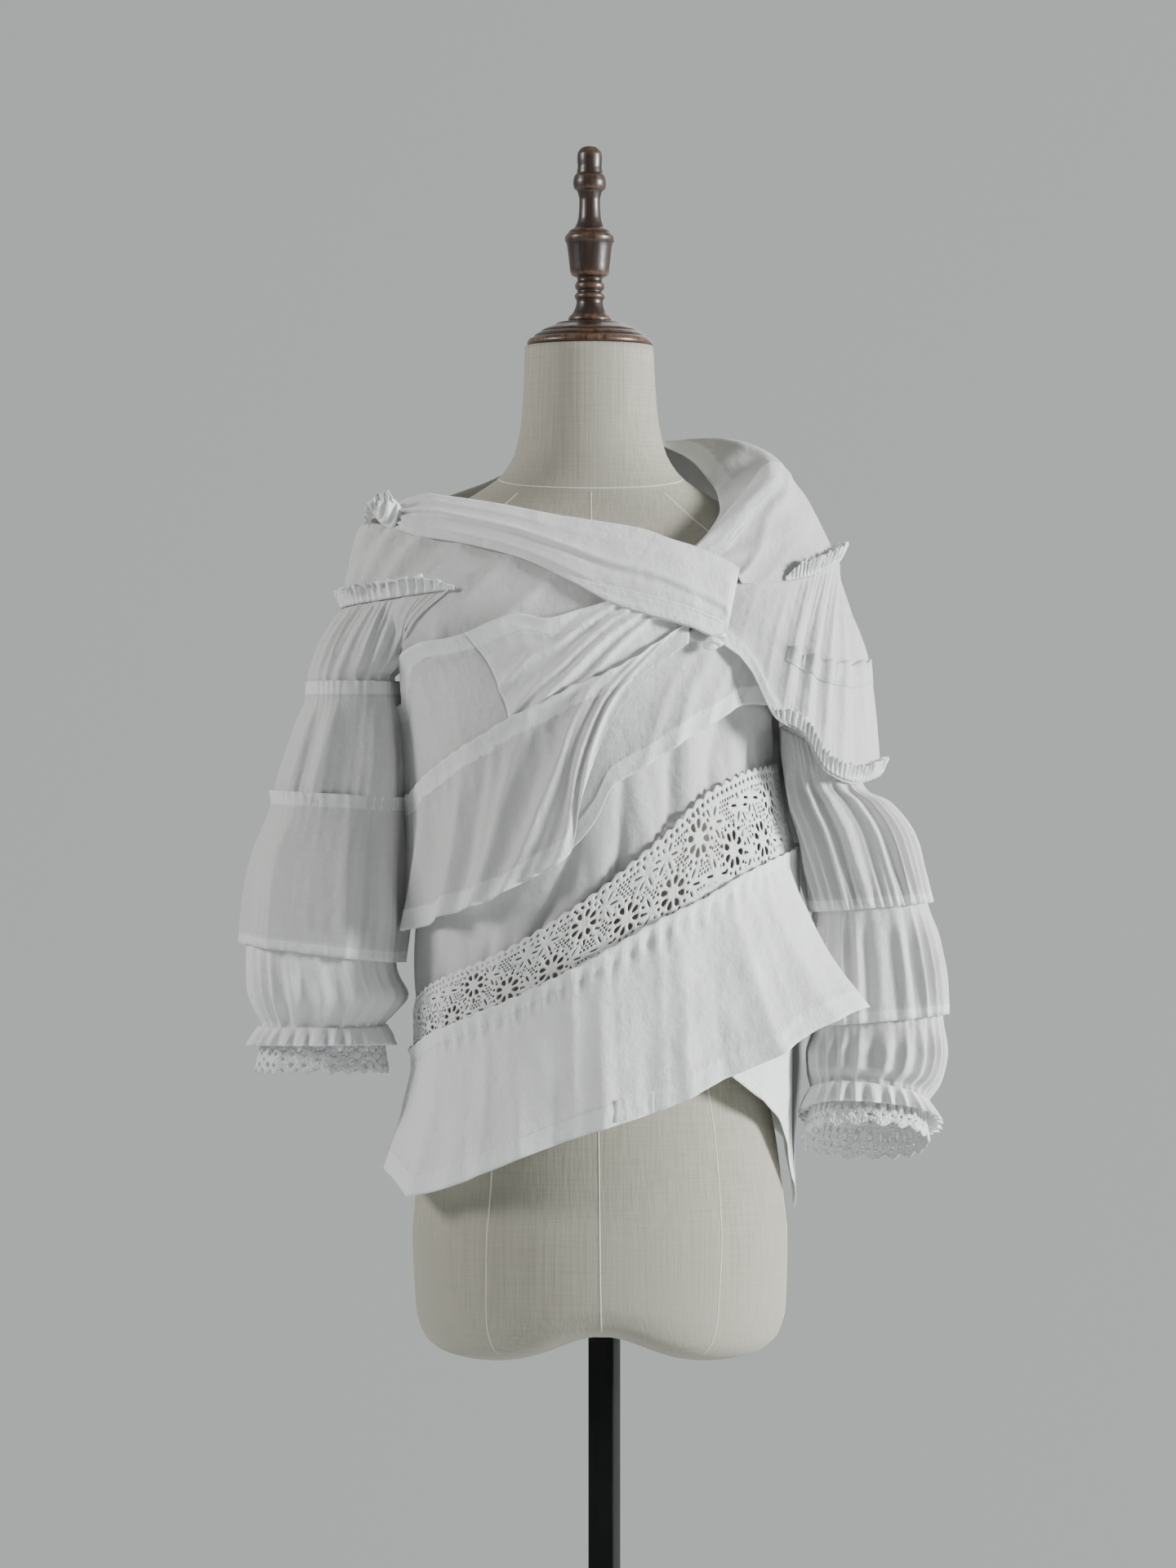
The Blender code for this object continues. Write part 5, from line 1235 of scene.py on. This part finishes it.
def blend_rows(controls, rows, columns):
    """A grid of points through a coarse grid of control points, smooth both ways."""
    controls = np.asarray(controls, float)
    along, across = (np.arange(size, dtype=float) for size in controls.shape[:2])
    at_rows, at_columns = np.linspace(0, along[-1], rows), np.linspace(0, across[-1], columns)
    wide = np.stack([[smooth(at_columns, across, line[:, k]) for k in range(3)] for line in controls])
    grid = [[smooth(at_rows, along, wide[:, k, j]) for k in range(3)] for j in range(columns)]
    return np.array(grid).transpose(2, 0, 1)


def surface_normals(grid):
    """Unit directions square to a grid of points, outwards: the cross product of its two slopes."""
    normal = np.cross(np.gradient(grid, axis=0), np.gradient(grid, axis=1))
    return normal / np.maximum(np.linalg.norm(normal, axis=-1, keepdims=True), 1e-9)


def crest(off, width, sharpness):
    """A ridge of height 1 where off is 0, which falls off over a width; below 2 its crest is sharp."""
    return np.exp(-(np.abs(off / width) ** sharpness))


def collar_creases(share_round, share_out):
    """Soft wear and two long creases that slant round the collar; all die out at its two edges."""
    upper = crest(share_out - 0.30 - 0.25 * (share_round - 0.6), 0.05, 1.4)
    lower = crest(share_out - 0.62 + 0.25 * (share_round - 0.8), 0.05, 2)
    soft = 1.6 * crumple(share_round * COLLAR_RUN, share_out * COLLAR_DEPTH, 26, 71)
    soft = soft + 2.4 * upper * np.sin(np.pi * share_round)
    soft = soft + 1.6 * lower * np.clip((share_round - 0.5) / 0.2, 0, 1)
    return soft * np.sin(np.pi * share_out) ** 0.5


def collar_facing(share_round, share_out):
    """The front facing: where it starts, its outer edge, where it lies, and its height with two folds."""
    over = np.clip((share_round - 0.62) / 0.03, 0, 1)
    inner, outer, fold = (
        read(YOKE_FRONT_FACING, "round", key, share_round) for key in ("inner", "outer", "fold"))
    inside = np.clip((share_out - inner) / 0.015, 0, 1) * np.clip((outer - share_out) / 0.015, 0, 1) * over
    first = crest(share_out - fold, 0.045, 1.3) * over
    second = crest(share_out - fold - 0.22, 0.04, 1.3) * over * (1 - share_round) / 0.38
    return over, outer, inside, 1.7 * inside + 3.4 * first + 2.4 * second


def make_collar():
    """The collar's grid, with the stitches and doubled cloth of its plain facing and its front facing."""
    collar = blend_rows(YOKE_SECTIONS, COLLAR_ROWS, COLLAR_COLUMNS)
    share_round = np.linspace(0, 1, COLLAR_ROWS)[:, None]
    share_out = np.linspace(0, 1, COLLAR_COLUMNS)[None, :]
    collar = collar + collar_creases(share_round, share_out)[..., None] * surface_normals(collar)
    over, outer, inside, rise = collar_facing(share_round, share_out)
    collar = collar + rise[..., None] * surface_normals(collar)
    steps = np.linalg.norm(np.diff(collar, axis=1), axis=-1)
    out = np.concatenate([np.zeros((COLLAR_ROWS, 1)), np.cumsum(steps, 1)], 1)
    plain_row = np.abs(out - YOKE_FACING) + NO_STITCHES * over
    front_row = np.abs(share_out - outer + 0.03) * out[:, -1:] + NO_STITCHES * (1 - over)
    on_plain = np.clip((YOKE_FACING + 0.6 - out) / 1.2, 0, 1) * (1 - over)
    return collar, (np.minimum(plain_row, front_row), np.maximum(on_plain, inside))


collar, collar_hems = make_collar()
cloth("collar_cloth", collar, voile, ["right_yoke"], 1.1, hems=collar_hems)


# The cap: a sheer width that wraps from the sash's end over the right arm, folded
# in long pleats from its top seam and gathered along its foot, with a ruffle at each seam.
CAP_MIDDLE = (
    (105, -101, 1297), (126, -98, 1285), (149, -92, 1270), (168, -84, 1262), (186, -70, 1257),
    (204, -44, 1256), (218, -2, 1258), (206, 44, 1256), (180, 72, 1254), (148, 98, 1262), (112, 116, 1272),
)
CAP_BOTTOM = (
    (99, -110, 1272), (118, -100, 1250), (139, -94, 1211), (160, -88, 1199), (182, -76, 1167),
    (206, -52, 1158), (230, -4, 1165), (212, 48, 1158), (182, 78, 1166), (146, 104, 1198), (112, 117, 1232),
)
CAP_TOP_GAP = -0.8
CAP_COLUMNS = 210
CAP_ROWS = 56
CAP_RUN = 420
CAP_DEPTH = 140
CAP_BAND_DEPTH = 14.5
CAP_BAND_END = 0.25
TUCK_START = 0.20
TUCK_END = 0.86


def cap_grid(columns, rows):
    """The cap from its top seam, which follows the collar's outer edge, to its foot."""
    edge = blend_rows(YOKE_SECTIONS, 150, 7)[YOKE_ROW_OVER_ARM:, -1][::-1]
    lines = [resample(edge, columns) - np.array([0, 0, CAP_TOP_GAP])]
    knots = np.arange(len(CAP_MIDDLE), dtype=float)
    at = np.linspace(0, knots[-1], columns)
    for control in (CAP_MIDDLE, CAP_BOTTOM):
        control = np.array(control, float)
        lines.append(np.stack([smooth(at, knots, control[:, k]) for k in range(3)], -1))
    return blend_rows(lines, rows, columns)


def cap_relief(along, down):
    """Long pleats and fine gathers, which start a little way from the sash's end, and soft wear."""
    pleats = gathers(np.pi * 2 * along, 13, 81, down) * np.clip((along - 0.12) / 0.15, 0, 1)
    fine_pleats = gathers(np.pi * 2 * along, 46, 82, down) * np.clip((along - 0.16) / 0.1, 0, 1)
    fine_depth = 0.9 * down**5 + 2.0 * (1 - down) ** 4 * np.clip(down / 0.04, 0, 1)
    relief = 3.6 * pleats * np.sin(np.pi * down) ** 0.6 + fine_depth * fine_pleats
    return relief + 1.2 * crumple(along * CAP_RUN, down * CAP_DEPTH, 40, 83) * np.sin(np.pi * down)


def make_cap():
    """The cap's grid, with a raised stitched band at its lower left and its left end turned in."""
    cap = cap_grid(CAP_COLUMNS, CAP_ROWS)
    along, down = np.linspace(0, 1, CAP_COLUMNS)[None, :], np.linspace(0, 1, CAP_ROWS)[:, None]
    relief = cap_relief(along, down)
    edges_in = np.clip((1 - along) / 0.05, 0, 1)
    from_foot = (1 - down) * np.linalg.norm(np.diff(cap, axis=0), axis=-1).sum(0)[None, :]
    on_band = np.clip(CAP_BAND_DEPTH - from_foot, 0, 1) * np.clip((CAP_BAND_END - along) / 0.01, 0, 1)
    lift = relief * edges_in * (1 - 0.8 * on_band) + 1.6 * on_band
    cap = cap + lift[..., None] * surface_normals(cap)
    tucked = np.clip(1 - along / 0.05, 0, 1)[..., None]
    cap = cap + tucked * np.array([-6.0, 1.0, 0.5])
    band_row = np.abs(from_foot - CAP_BAND_DEPTH + 2.0) + NO_STITCHES * (along > CAP_BAND_END)
    return cap, (band_row, on_band)


def cap_tuck(cap):
    """The tucked heading across the cap: a strip of the cap's own surface, raised towards its upper edge."""
    along, down = np.linspace(0, 1, CAP_COLUMNS)[None, :], np.linspace(0, 1, CAP_ROWS)
    columns = (along[0] > TUCK_START) & (along[0] < TUCK_END)
    tuck = cap[(down > 0.485) & (down < 0.615)][:, columns]
    rise = np.linspace(1, 0, len(tuck))[:, None]
    turn = np.pi * 2 * along[:, columns]
    ends = np.clip((along[:, columns] - TUCK_START) / 0.04, 0, 1)
    lift = 0.35 + 2.6 * rise * ends + 1.2 * rise * gathers(turn, 26, 86)
    tuck = tuck + lift[..., None] * surface_normals(tuck)
    tuck[..., 2] += 2.4 * rise * gathers(turn, 13, 81)
    return tuck


def cap_seam(row, first, last, count, rise):
    """A line 1.7 mm outside the cap's top (row 0) or foot (row -1), between two of 61 columns."""
    line = resample(cap_grid(61, 6)[row, first:last], count)
    return line + flat_outward(line) * 1.7 + np.array([0, 0, rise])


cap, cap_hems = make_cap()
cloth("cap_cloth", cap, voile, ["cap_right"], 1.3, hems=cap_hems)
cloth("cap_tuck_cloth", cap_tuck(cap), voile, [], 1.1, hem=3.0,
      thick=0.7)
ruffle("ruffle_right_arm_cloth", "ruffle_right_arm", cap_seam(-1, 11, 50, 420, 2.0), 52, 3.0, 3.3, 84, 13.0)
ruffle("ruffle_right_shoulder_cloth", "ruffle_right_shoulder", cap_seam(0, 8, 46, 400, 0.0),
       46, 3.6, 3.3, 85, 14.0)


# The left sleeve: a sheer head gathered into the armhole under a ruffle, two tiers
# with folded headings, a puff drawn in by elastic, a small frill and a crochet edge.
SQUARENESS = 0.82
HEAD_SEAM = table("angle z", (-147, 1311), (-120, 1304), (-90, 1302), (-60, 1306), (-34, 1314))
HEAD_FOOT = {"left": -246.0, "right": -168.5, "front": 61.0, "back": 62.0, "z": 1248.0}
HEAD_COLUMNS = 240
HEAD_ROWS = 28
HEAD_HEM_ROWS = 5


def powered(wave):
    """A sine flattened towards a squared oval."""
    return np.sign(wave) * np.abs(wave) ** SQUARENESS


def oval(level, turn, extra):
    """A point of a sleeve ring: a squared oval with its own reach to each side, which may tilt."""
    out_x, out_y = powered(np.sin(turn)), powered(-np.cos(turn))
    half = (level["right"] - level["left"]) / 2
    x = (level["right"] + level["left"]) / 2 + (half + extra) * out_x
    y = (np.where(out_y < 0, level["front"], level["back"]) + extra) * out_y
    z = level["z"] + level["tilt_x"] * out_x + level["tilt_y"] * out_y
    return np.stack(np.broadcast_arrays(x, y, z), -1)


def clear_of_hull(points, lift):
    """Moves points that lie inside the body's oval straight out, until they are lift outside it."""
    x, y, z = points[..., 0], points[..., 1], points[..., 2]
    left, right = read(HULL, "z", "left", z), read(HULL, "z", "right", z)
    depth = np.where(y < 0, read(HULL, "z", "front", z), read(HULL, "z", "back", z))
    middle = (left + right) / 2
    share = np.hypot((x - middle) / ((right - left) / 2 + lift), y / (depth + lift))
    grow = np.where(share < 1, 1 / np.maximum(share, 0.2), 1.0)
    return np.stack([middle + (x - middle) * grow, y * grow, z], -1)


def head_foot():
    """The foot of the head: most of a squared oval round the arm, open towards the body."""
    turn = np.radians(np.linspace(-140, 140, HEAD_COLUMNS))
    out_x, out_y = powered(-np.cos(turn)), -powered(np.sin(turn))
    x = (HEAD_FOOT["left"] + HEAD_FOOT["right"]) / 2 + (HEAD_FOOT["right"] - HEAD_FOOT["left"]) / 2 * out_x
    y = np.where(out_y < 0, HEAD_FOOT["front"], HEAD_FOOT["back"]) * out_y
    return np.stack([x, y, np.full(HEAD_COLUMNS, HEAD_FOOT["z"])], -1)


def sleeve_head():
    """The head: straight lines from its seam to its foot, swollen by gathers at the seam and a full belly."""
    angle = np.linspace(-147, -34, HEAD_COLUMNS)
    seam = hull(angle, read(HEAD_SEAM, "angle", "z", angle) + 2.5, 1.7)
    down = np.concatenate([np.linspace(0, 1, HEAD_ROWS), np.full(HEAD_HEM_ROWS, 1.0)])[:, None]
    drop = np.concatenate([np.zeros(HEAD_ROWS), np.linspace(3, 17, HEAD_HEM_ROWS)])[:, None]
    grid = seam[None] * (1 - down[..., None]) + head_foot()[None] * down[..., None]
    grid[..., 2] -= drop
    turn = np.linspace(0, 2 * np.pi, HEAD_COLUMNS)[None, :]
    edge = gathers(turn, 46, 91, down) * (1 - down) ** 1.5 * 2.3 * np.clip(down / 0.05, 0.2, 1)
    belly = gathers(turn, 17, 92, down) * np.sin(np.pi * np.clip(down * 0.9, 0, 1)) ** 0.7 * 2.6
    grid = grid + (3.8 * np.sin(np.pi * down) + edge + belly)[..., None] * surface_normals(grid)
    return clear_of_hull(grid, 2.5)


def armhole_line():
    """The line of the left ruffle: the armhole's seam, 4.9 mm outside the body's oval."""
    angle = np.linspace(-148, -32, 420)
    return hull(angle, read(HEAD_SEAM, "angle", "z", angle) + 1.7, 4.9)


cloth("sleeve_left_top_cloth", sleeve_head(), voile, ["sleeve_left_top"], 1.35, hem=10.0)
ruffle("ruffle_left_cloth", "ruffle_left", armhole_line(), 40, 2.6, 3.6, 93, 14.5)


SLEEVE = "z left right front back tilt_x tilt_y gather"
SLEEVE_COLUMNS = 250
SLEEVE_STEP = 3.2


def sleeve(piece, rings, finish, broad, fine, seed, hem=0.0, heading=0.0, lift=0.0,
           fine_depth=0.8, crease=1.8):
    """A tube of a sleeve through squared ovals, with uneven long folds and fine gathers at its ends."""
    levels = table(SLEEVE, *rings)
    knots = np.arange(len(rings), dtype=float)
    deep = float(abs(levels["z"][0] - levels["z"][-1]))
    at = np.linspace(0, knots[-1], max(9, int(deep / SLEEVE_STEP)))[:, None]
    level = {key: smooth(at, knots, column) for key, column in levels.items()}
    turn = np.linspace(0, 2 * np.pi, SLEEVE_COLUMNS, endpoint=False)[None, :]
    share = at / knots[-1]
    folds = 1.5 * level["gather"] * gathers(turn, broad, seed, share)
    folds = folds + fine_depth * gathers(turn, fine, seed + 1, share) * (share**3 + (1 - share) ** 3)
    folds = folds + crease * crumple(turn * 50, level["z"], 30, seed + 2) * np.sin(np.pi * share)
    grid = oval(level, turn, folds)
    if lift:
        grid = clear_of_hull(grid, lift)
    cloth(f"{piece}_cloth", grid, finish, [piece], 1.3, True, hem, heading)


sleeve("sleeve_left_middle", (
    (1243, -248, -168, 63, 64, 0, 0, 0.3), (1230, -248, -168, 63, 64, 0, 0, 0.3),
    (1205, -256, -166, 64, 66, -1, 0, 2.2), (1170, -267, -164, 64, 66, -2, 0, 2.6),
    (1134, -276, -166, 62, 64, -3, 0, 1.0)), voile, 10, 44, 101, heading=12.0)
sleeve("sleeve_left_flounce", (
    (1150, -278.5, -164, 65.5, 67.5, -3, 0, 0.5), (1139, -277.2, -165, 64.2, 66.2, -3, 0, 0.3),
    (1095, -292, -164, 70, 72, -4, 0, 2.4), (1058, -299, -164, 72, 74, -6, 0, 2.8),
    (1018, -302, -168, 71, 73, -8, 0, 2.6)), voile, 9, 46, 104, hem=11.0, heading=12.0)
sleeve("sleeve_left_puff", (
    (1040, -297, -176, 65, 67, -4, 0, 0.5), (1010, -297.5, -174, 66, 67, -6, 0, 1.2),
    (985, -296, -166.5, 64, 65, -2, 0, 2.6), (967, -289, -178, 53, 55, -1, 0, 2.2),
    (959, -285, -183, 48, 50, 0, 0, 1.0), (954, -285, -183, 48, 50, 0, 0, 0.4)), lawn, 24, 52, 107)
sleeve("frill_left", (
    (957.5, -286.9, -181.1, 49.9, 51.9, 0, 0, 0.6), (950, -291, -178.5, 53, 55, 0, -1, 2.2),
    (941, -296, -176, 57, 59, 0, -2, 3.2)), lawn, 30, 60, 110, hem=3.0, fine_depth=0.3, crease=0.0)


# The right sleeve: its sheer head hangs from under the cap; two shingled tiers
# lie below it, then the puff, the frill and the crochet edge as on the left.
sleeve("sleeve_right_upper", (
    (1191, 139, 203, 62, 44, -17, 0, 0.3), (1172, 140, 213, 63, 48, -12, 0, 0.3),
    (1157, 141, 218, 63, 50, -5, 0, 2.0), (1142, 142, 237, 64, 66, 0, 0, 3.0),
    (1118, 150, 255, 61, 75, 0, 0, 3.2), (1084, 162, 265, 54, 81, 2, 0, 2.8),
    (1056, 170.5, 272, 52, 84, 4, 0, 1.0)), voile, 24, 52, 121, hem=10.0, lift=12.0, fine_depth=2.0)
sleeve("sleeve_right_middle", (
    (1068, 173.5, 266.5, 48.5, 80.5, 4, 0, 0.3), (1053, 173.5, 269, 48.5, 80.5, 4, 0, 0.5),
    (1025, 171, 277, 45, 84, 3, 0, 2.4), (995, 169.5, 283, 42, 87, 4, 0, 2.8),
    (962, 168.5, 286, 42, 89, 5, 0, 1.6)), voile, 22, 50, 124, hem=10.0, fine_depth=0.6)
sleeve("sleeve_right_puff", (
    (976, 172.5, 279, 37.5, 84, 5, 0, 0.3), (957, 172.3, 282, 38.2, 85, 5, 0, 0.5),
    (935, 169.5, 284, 44, 86, 0, -3, 2.6), (914, 170, 279, 44, 76, -4, -10, 2.2),
    (899, 172, 269, 37, 61, -6, -16, 1.0), (892, 172, 269, 37, 61, -6, -16, 0.4)),
    voile, 24, 54, 127, fine_depth=0.9)
sleeve("frill_right", (
    (895.5, 170.1, 270.9, 38.9, 62.9, -6, -16, 0.6), (887, 167, 275.5, 42, 66, -5.5, -17, 2.2),
    (878, 164, 280, 45, 69, -5, -18, 3.2)), lawn, 30, 60, 130, hem=3.0, fine_depth=0.3, crease=0.0)


# The crochet edges: rings of cotton yarn at both wrists. The left one is worked in
# flowers with round eyes, the right one in bars with long slots; both end in scallops.
def crochet_left_gaps(s, t):
    """Signed distance to the gaps between two staggered rows of flowers, down to a scalloped edge."""
    field = np.full(s.shape, 9.0)
    for middle, shift in ((9.0, 0.0), (27.0, 13.5)):
        x = np.mod(s + shift, 27.0) - 13.5
        y = t - middle
        radius, side = np.hypot(x, y), folded(np.arctan2(y, x), 6)
        field = np.minimum(field, radius - 1.6)
        field = np.minimum(field, np.hypot(radius * np.cos(side) - 9.6, radius * np.sin(side)) - 1.9)
    scallop = 34.5 + 5.0 * np.abs(np.sin(np.pi * s / 13.5))
    field = np.minimum(field, np.hypot(np.mod(s, 6.75) - 3.375, t - 1.5) - 0.9)
    return np.minimum(field, (scallop - t) * 0.8)


def crochet_right_gaps(s, t):
    """Signed distance to a row of long slots between bars, small eyes, and a scalloped edge."""
    x = np.mod(s, 8.6) - 4.3
    slot = (np.hypot(x / 1.3, (t - 17.0) / 5.4) - 1) * 1.3
    eye = np.hypot(np.mod(s + 4.3, 8.6) - 4.3, t - 26.5) - 1.2
    upper = np.hypot(np.mod(s, 5.73) - 2.87, t - 5.0) - 1.1
    scallop = 32.0 + 4.5 * np.abs(np.sin(np.pi * s / 17.2))
    return np.minimum(np.minimum(np.minimum(slot, eye), upper), (scallop - t) * 0.8)


def crochet_yarn():
    """Soft cotton yarn worked in crochet: knobbly stitches a millimetre or two across, with painted shade
    between the knobs.
    """
    finish, tree, shader = new_finish("crochet_yarn", Roughness=0.88, Sheen_Weight=0.2)
    stitch = tree.nodes.new("ShaderNodeTexVoronoi")
    stitch.inputs["Scale"].default_value = 420.0
    tree.links.new(place(tree, (1, 1, 1)), stitch.inputs["Vector"])
    knobs_and_shade = maths(tree, "SUBTRACT", 1.0, stitch.outputs["Distance"])
    fibre = noise(tree, place(tree, (1, 1, 1)), 2200.0, 2.0)
    # painted shade: the colour darkens from each knob's middle to the gaps between the knobs; the same value
    # also gives the knobs' bump
    colour = mixed(tree, ramp(tree, knobs_and_shade, 0.35, 0.9), (0.74, 0.74, 0.75), (0.93, 0.93, 0.93))
    tree.links.new(colour, shader.inputs["Base Color"])
    height = maths(tree, "MULTIPLY", knobs_and_shade, 0.0011)
    bump(tree, shader, maths(tree, "MULTIPLY_ADD", fibre, 0.00015, height))
    return finish


CROCHET_CELL = 1.35
CUFFS = (
    ("left", 324.0, 40.0, crochet_left_gaps, table(SLEEVE,
        (957, -282.8, -185.2, 45.8, 47.8, 0, 0, 0), (917, -290.5, -179.6, 51.5, 53.5, 0, -2, 0))),
    ("right", 343.8, 37.0, crochet_right_gaps, table(SLEEVE,
        (895, 174.3, 266.7, 34.7, 58.7, -6, -16, 0), (858, 164.0, 270.4, 41.7, 63.6, -1.6, -18.2, 0))),
)
yarn = crochet_yarn()
for side, run, depth, gaps, levels in CUFFS:

    def cuff_surface(s, t, lift, levels=levels, run=run, depth=depth):
        """The ring of a wrist: distance along becomes a turn, distance down goes from row to row."""
        share = t / depth
        level = {key: column[0] + (column[1] - column[0]) * share for key, column in levels.items()}
        turn = s / run * math.tau
        wave = 1.1 * share * np.sin(9 * turn + 1) + 0.6 * share * np.sin(17 * turn)
        return oval(level, turn, lift * 1.6 - 0.6 + wave)

    openwork(f"crochet_{side}_yarn", run, depth, CROCHET_CELL, gaps, cuff_surface, yarn,
             [f"crochet_{side}"], True, 1.3)


# The setting: a plain pale floor and soft studio light, strongest from the right.
FLOOR_RADIUS = 3000
FLOOR_CORNERS = 96
FLOOR_LEVEL = -0.5
turn = np.linspace(0, 2 * np.pi, FLOOR_CORNERS, endpoint=False)
x, y = FLOOR_RADIUS * np.sin(turn), -FLOOR_RADIUS * np.cos(turn)
disc = np.stack([x, y, np.full(FLOOR_CORNERS, FLOOR_LEVEL)], -1)
floor_mesh = bpy.data.meshes.new("floor")
floor_mesh.from_pydata((disc * 0.001).tolist(), [], [list(range(FLOOR_CORNERS))])
floor_paint, floor_tree, floor_shader = new_finish("floor_paint", Roughness=0.7)
floor_shader.inputs["Base Color"].default_value = (0.62, 0.64, 0.65, 1.0)
floor_mesh.materials.append(floor_paint)
floor = bpy.data.objects.new("floor", floor_mesh)
scene.collection.objects.link(floor)

# The sky: even and grey, with what its strength gains towards the back (axis 1),
# the right (axis 0) and the top (axis 2).
SKY_STRENGTH = 0.52
SKY_GAINS = ((1, 0.29), (0, 0.14), (2, -0.07))
sky = bpy.data.worlds.new("studio")
sky.use_nodes = True
sky_tree = sky.node_tree
background = sky_tree.nodes["Background"]
background.inputs["Color"].default_value = (0.60, 0.63, 0.62, 1.0)
parts = sky_tree.nodes.new("ShaderNodeSeparateXYZ")
sky_tree.links.new(sky_tree.nodes.new("ShaderNodeTexCoord").outputs["Generated"], parts.inputs[0])
strength = SKY_STRENGTH
for axis, gain in SKY_GAINS:
    strength = maths(sky_tree, "MULTIPLY_ADD", parts.outputs[axis], gain, strength)
sky_tree.links.new(strength, background.inputs["Strength"])
scene.world = sky


def soft_light(name, place_m, aim_m, size, power, colour):
    """A square area light that faces a point."""
    light = bpy.data.lights.new(name, "AREA")
    light.size = size
    light.energy = power
    light.color = colour
    lamp = bpy.data.objects.new(name, light)
    lamp.location = place_m
    direction = np.array(aim_m) - np.array(place_m)
    flat = math.hypot(direction[0], direction[1])
    pitch, heading = math.atan2(direction[2], flat), math.atan2(-direction[0], direction[1])
    lamp.rotation_euler = (math.pi / 2 + pitch, 0, heading)
    scene.collection.objects.link(lamp)


soft_light("window_light", (3.4, -1.1, 1.9), (0, 0, 1.15), 0.8, 262.0, (0.98, 1.0, 1.0))
soft_light("room_light", (-3.2, -1.0, 2.6), (0, 0, 1.2), 1.0, 84.0, (1.0, 1.0, 0.98))
soft_light("back_light", (0.8, 2.8, 2.6), (0, 0, 1.2), 2.2, 20.0, (0.98, 1.0, 1.0))
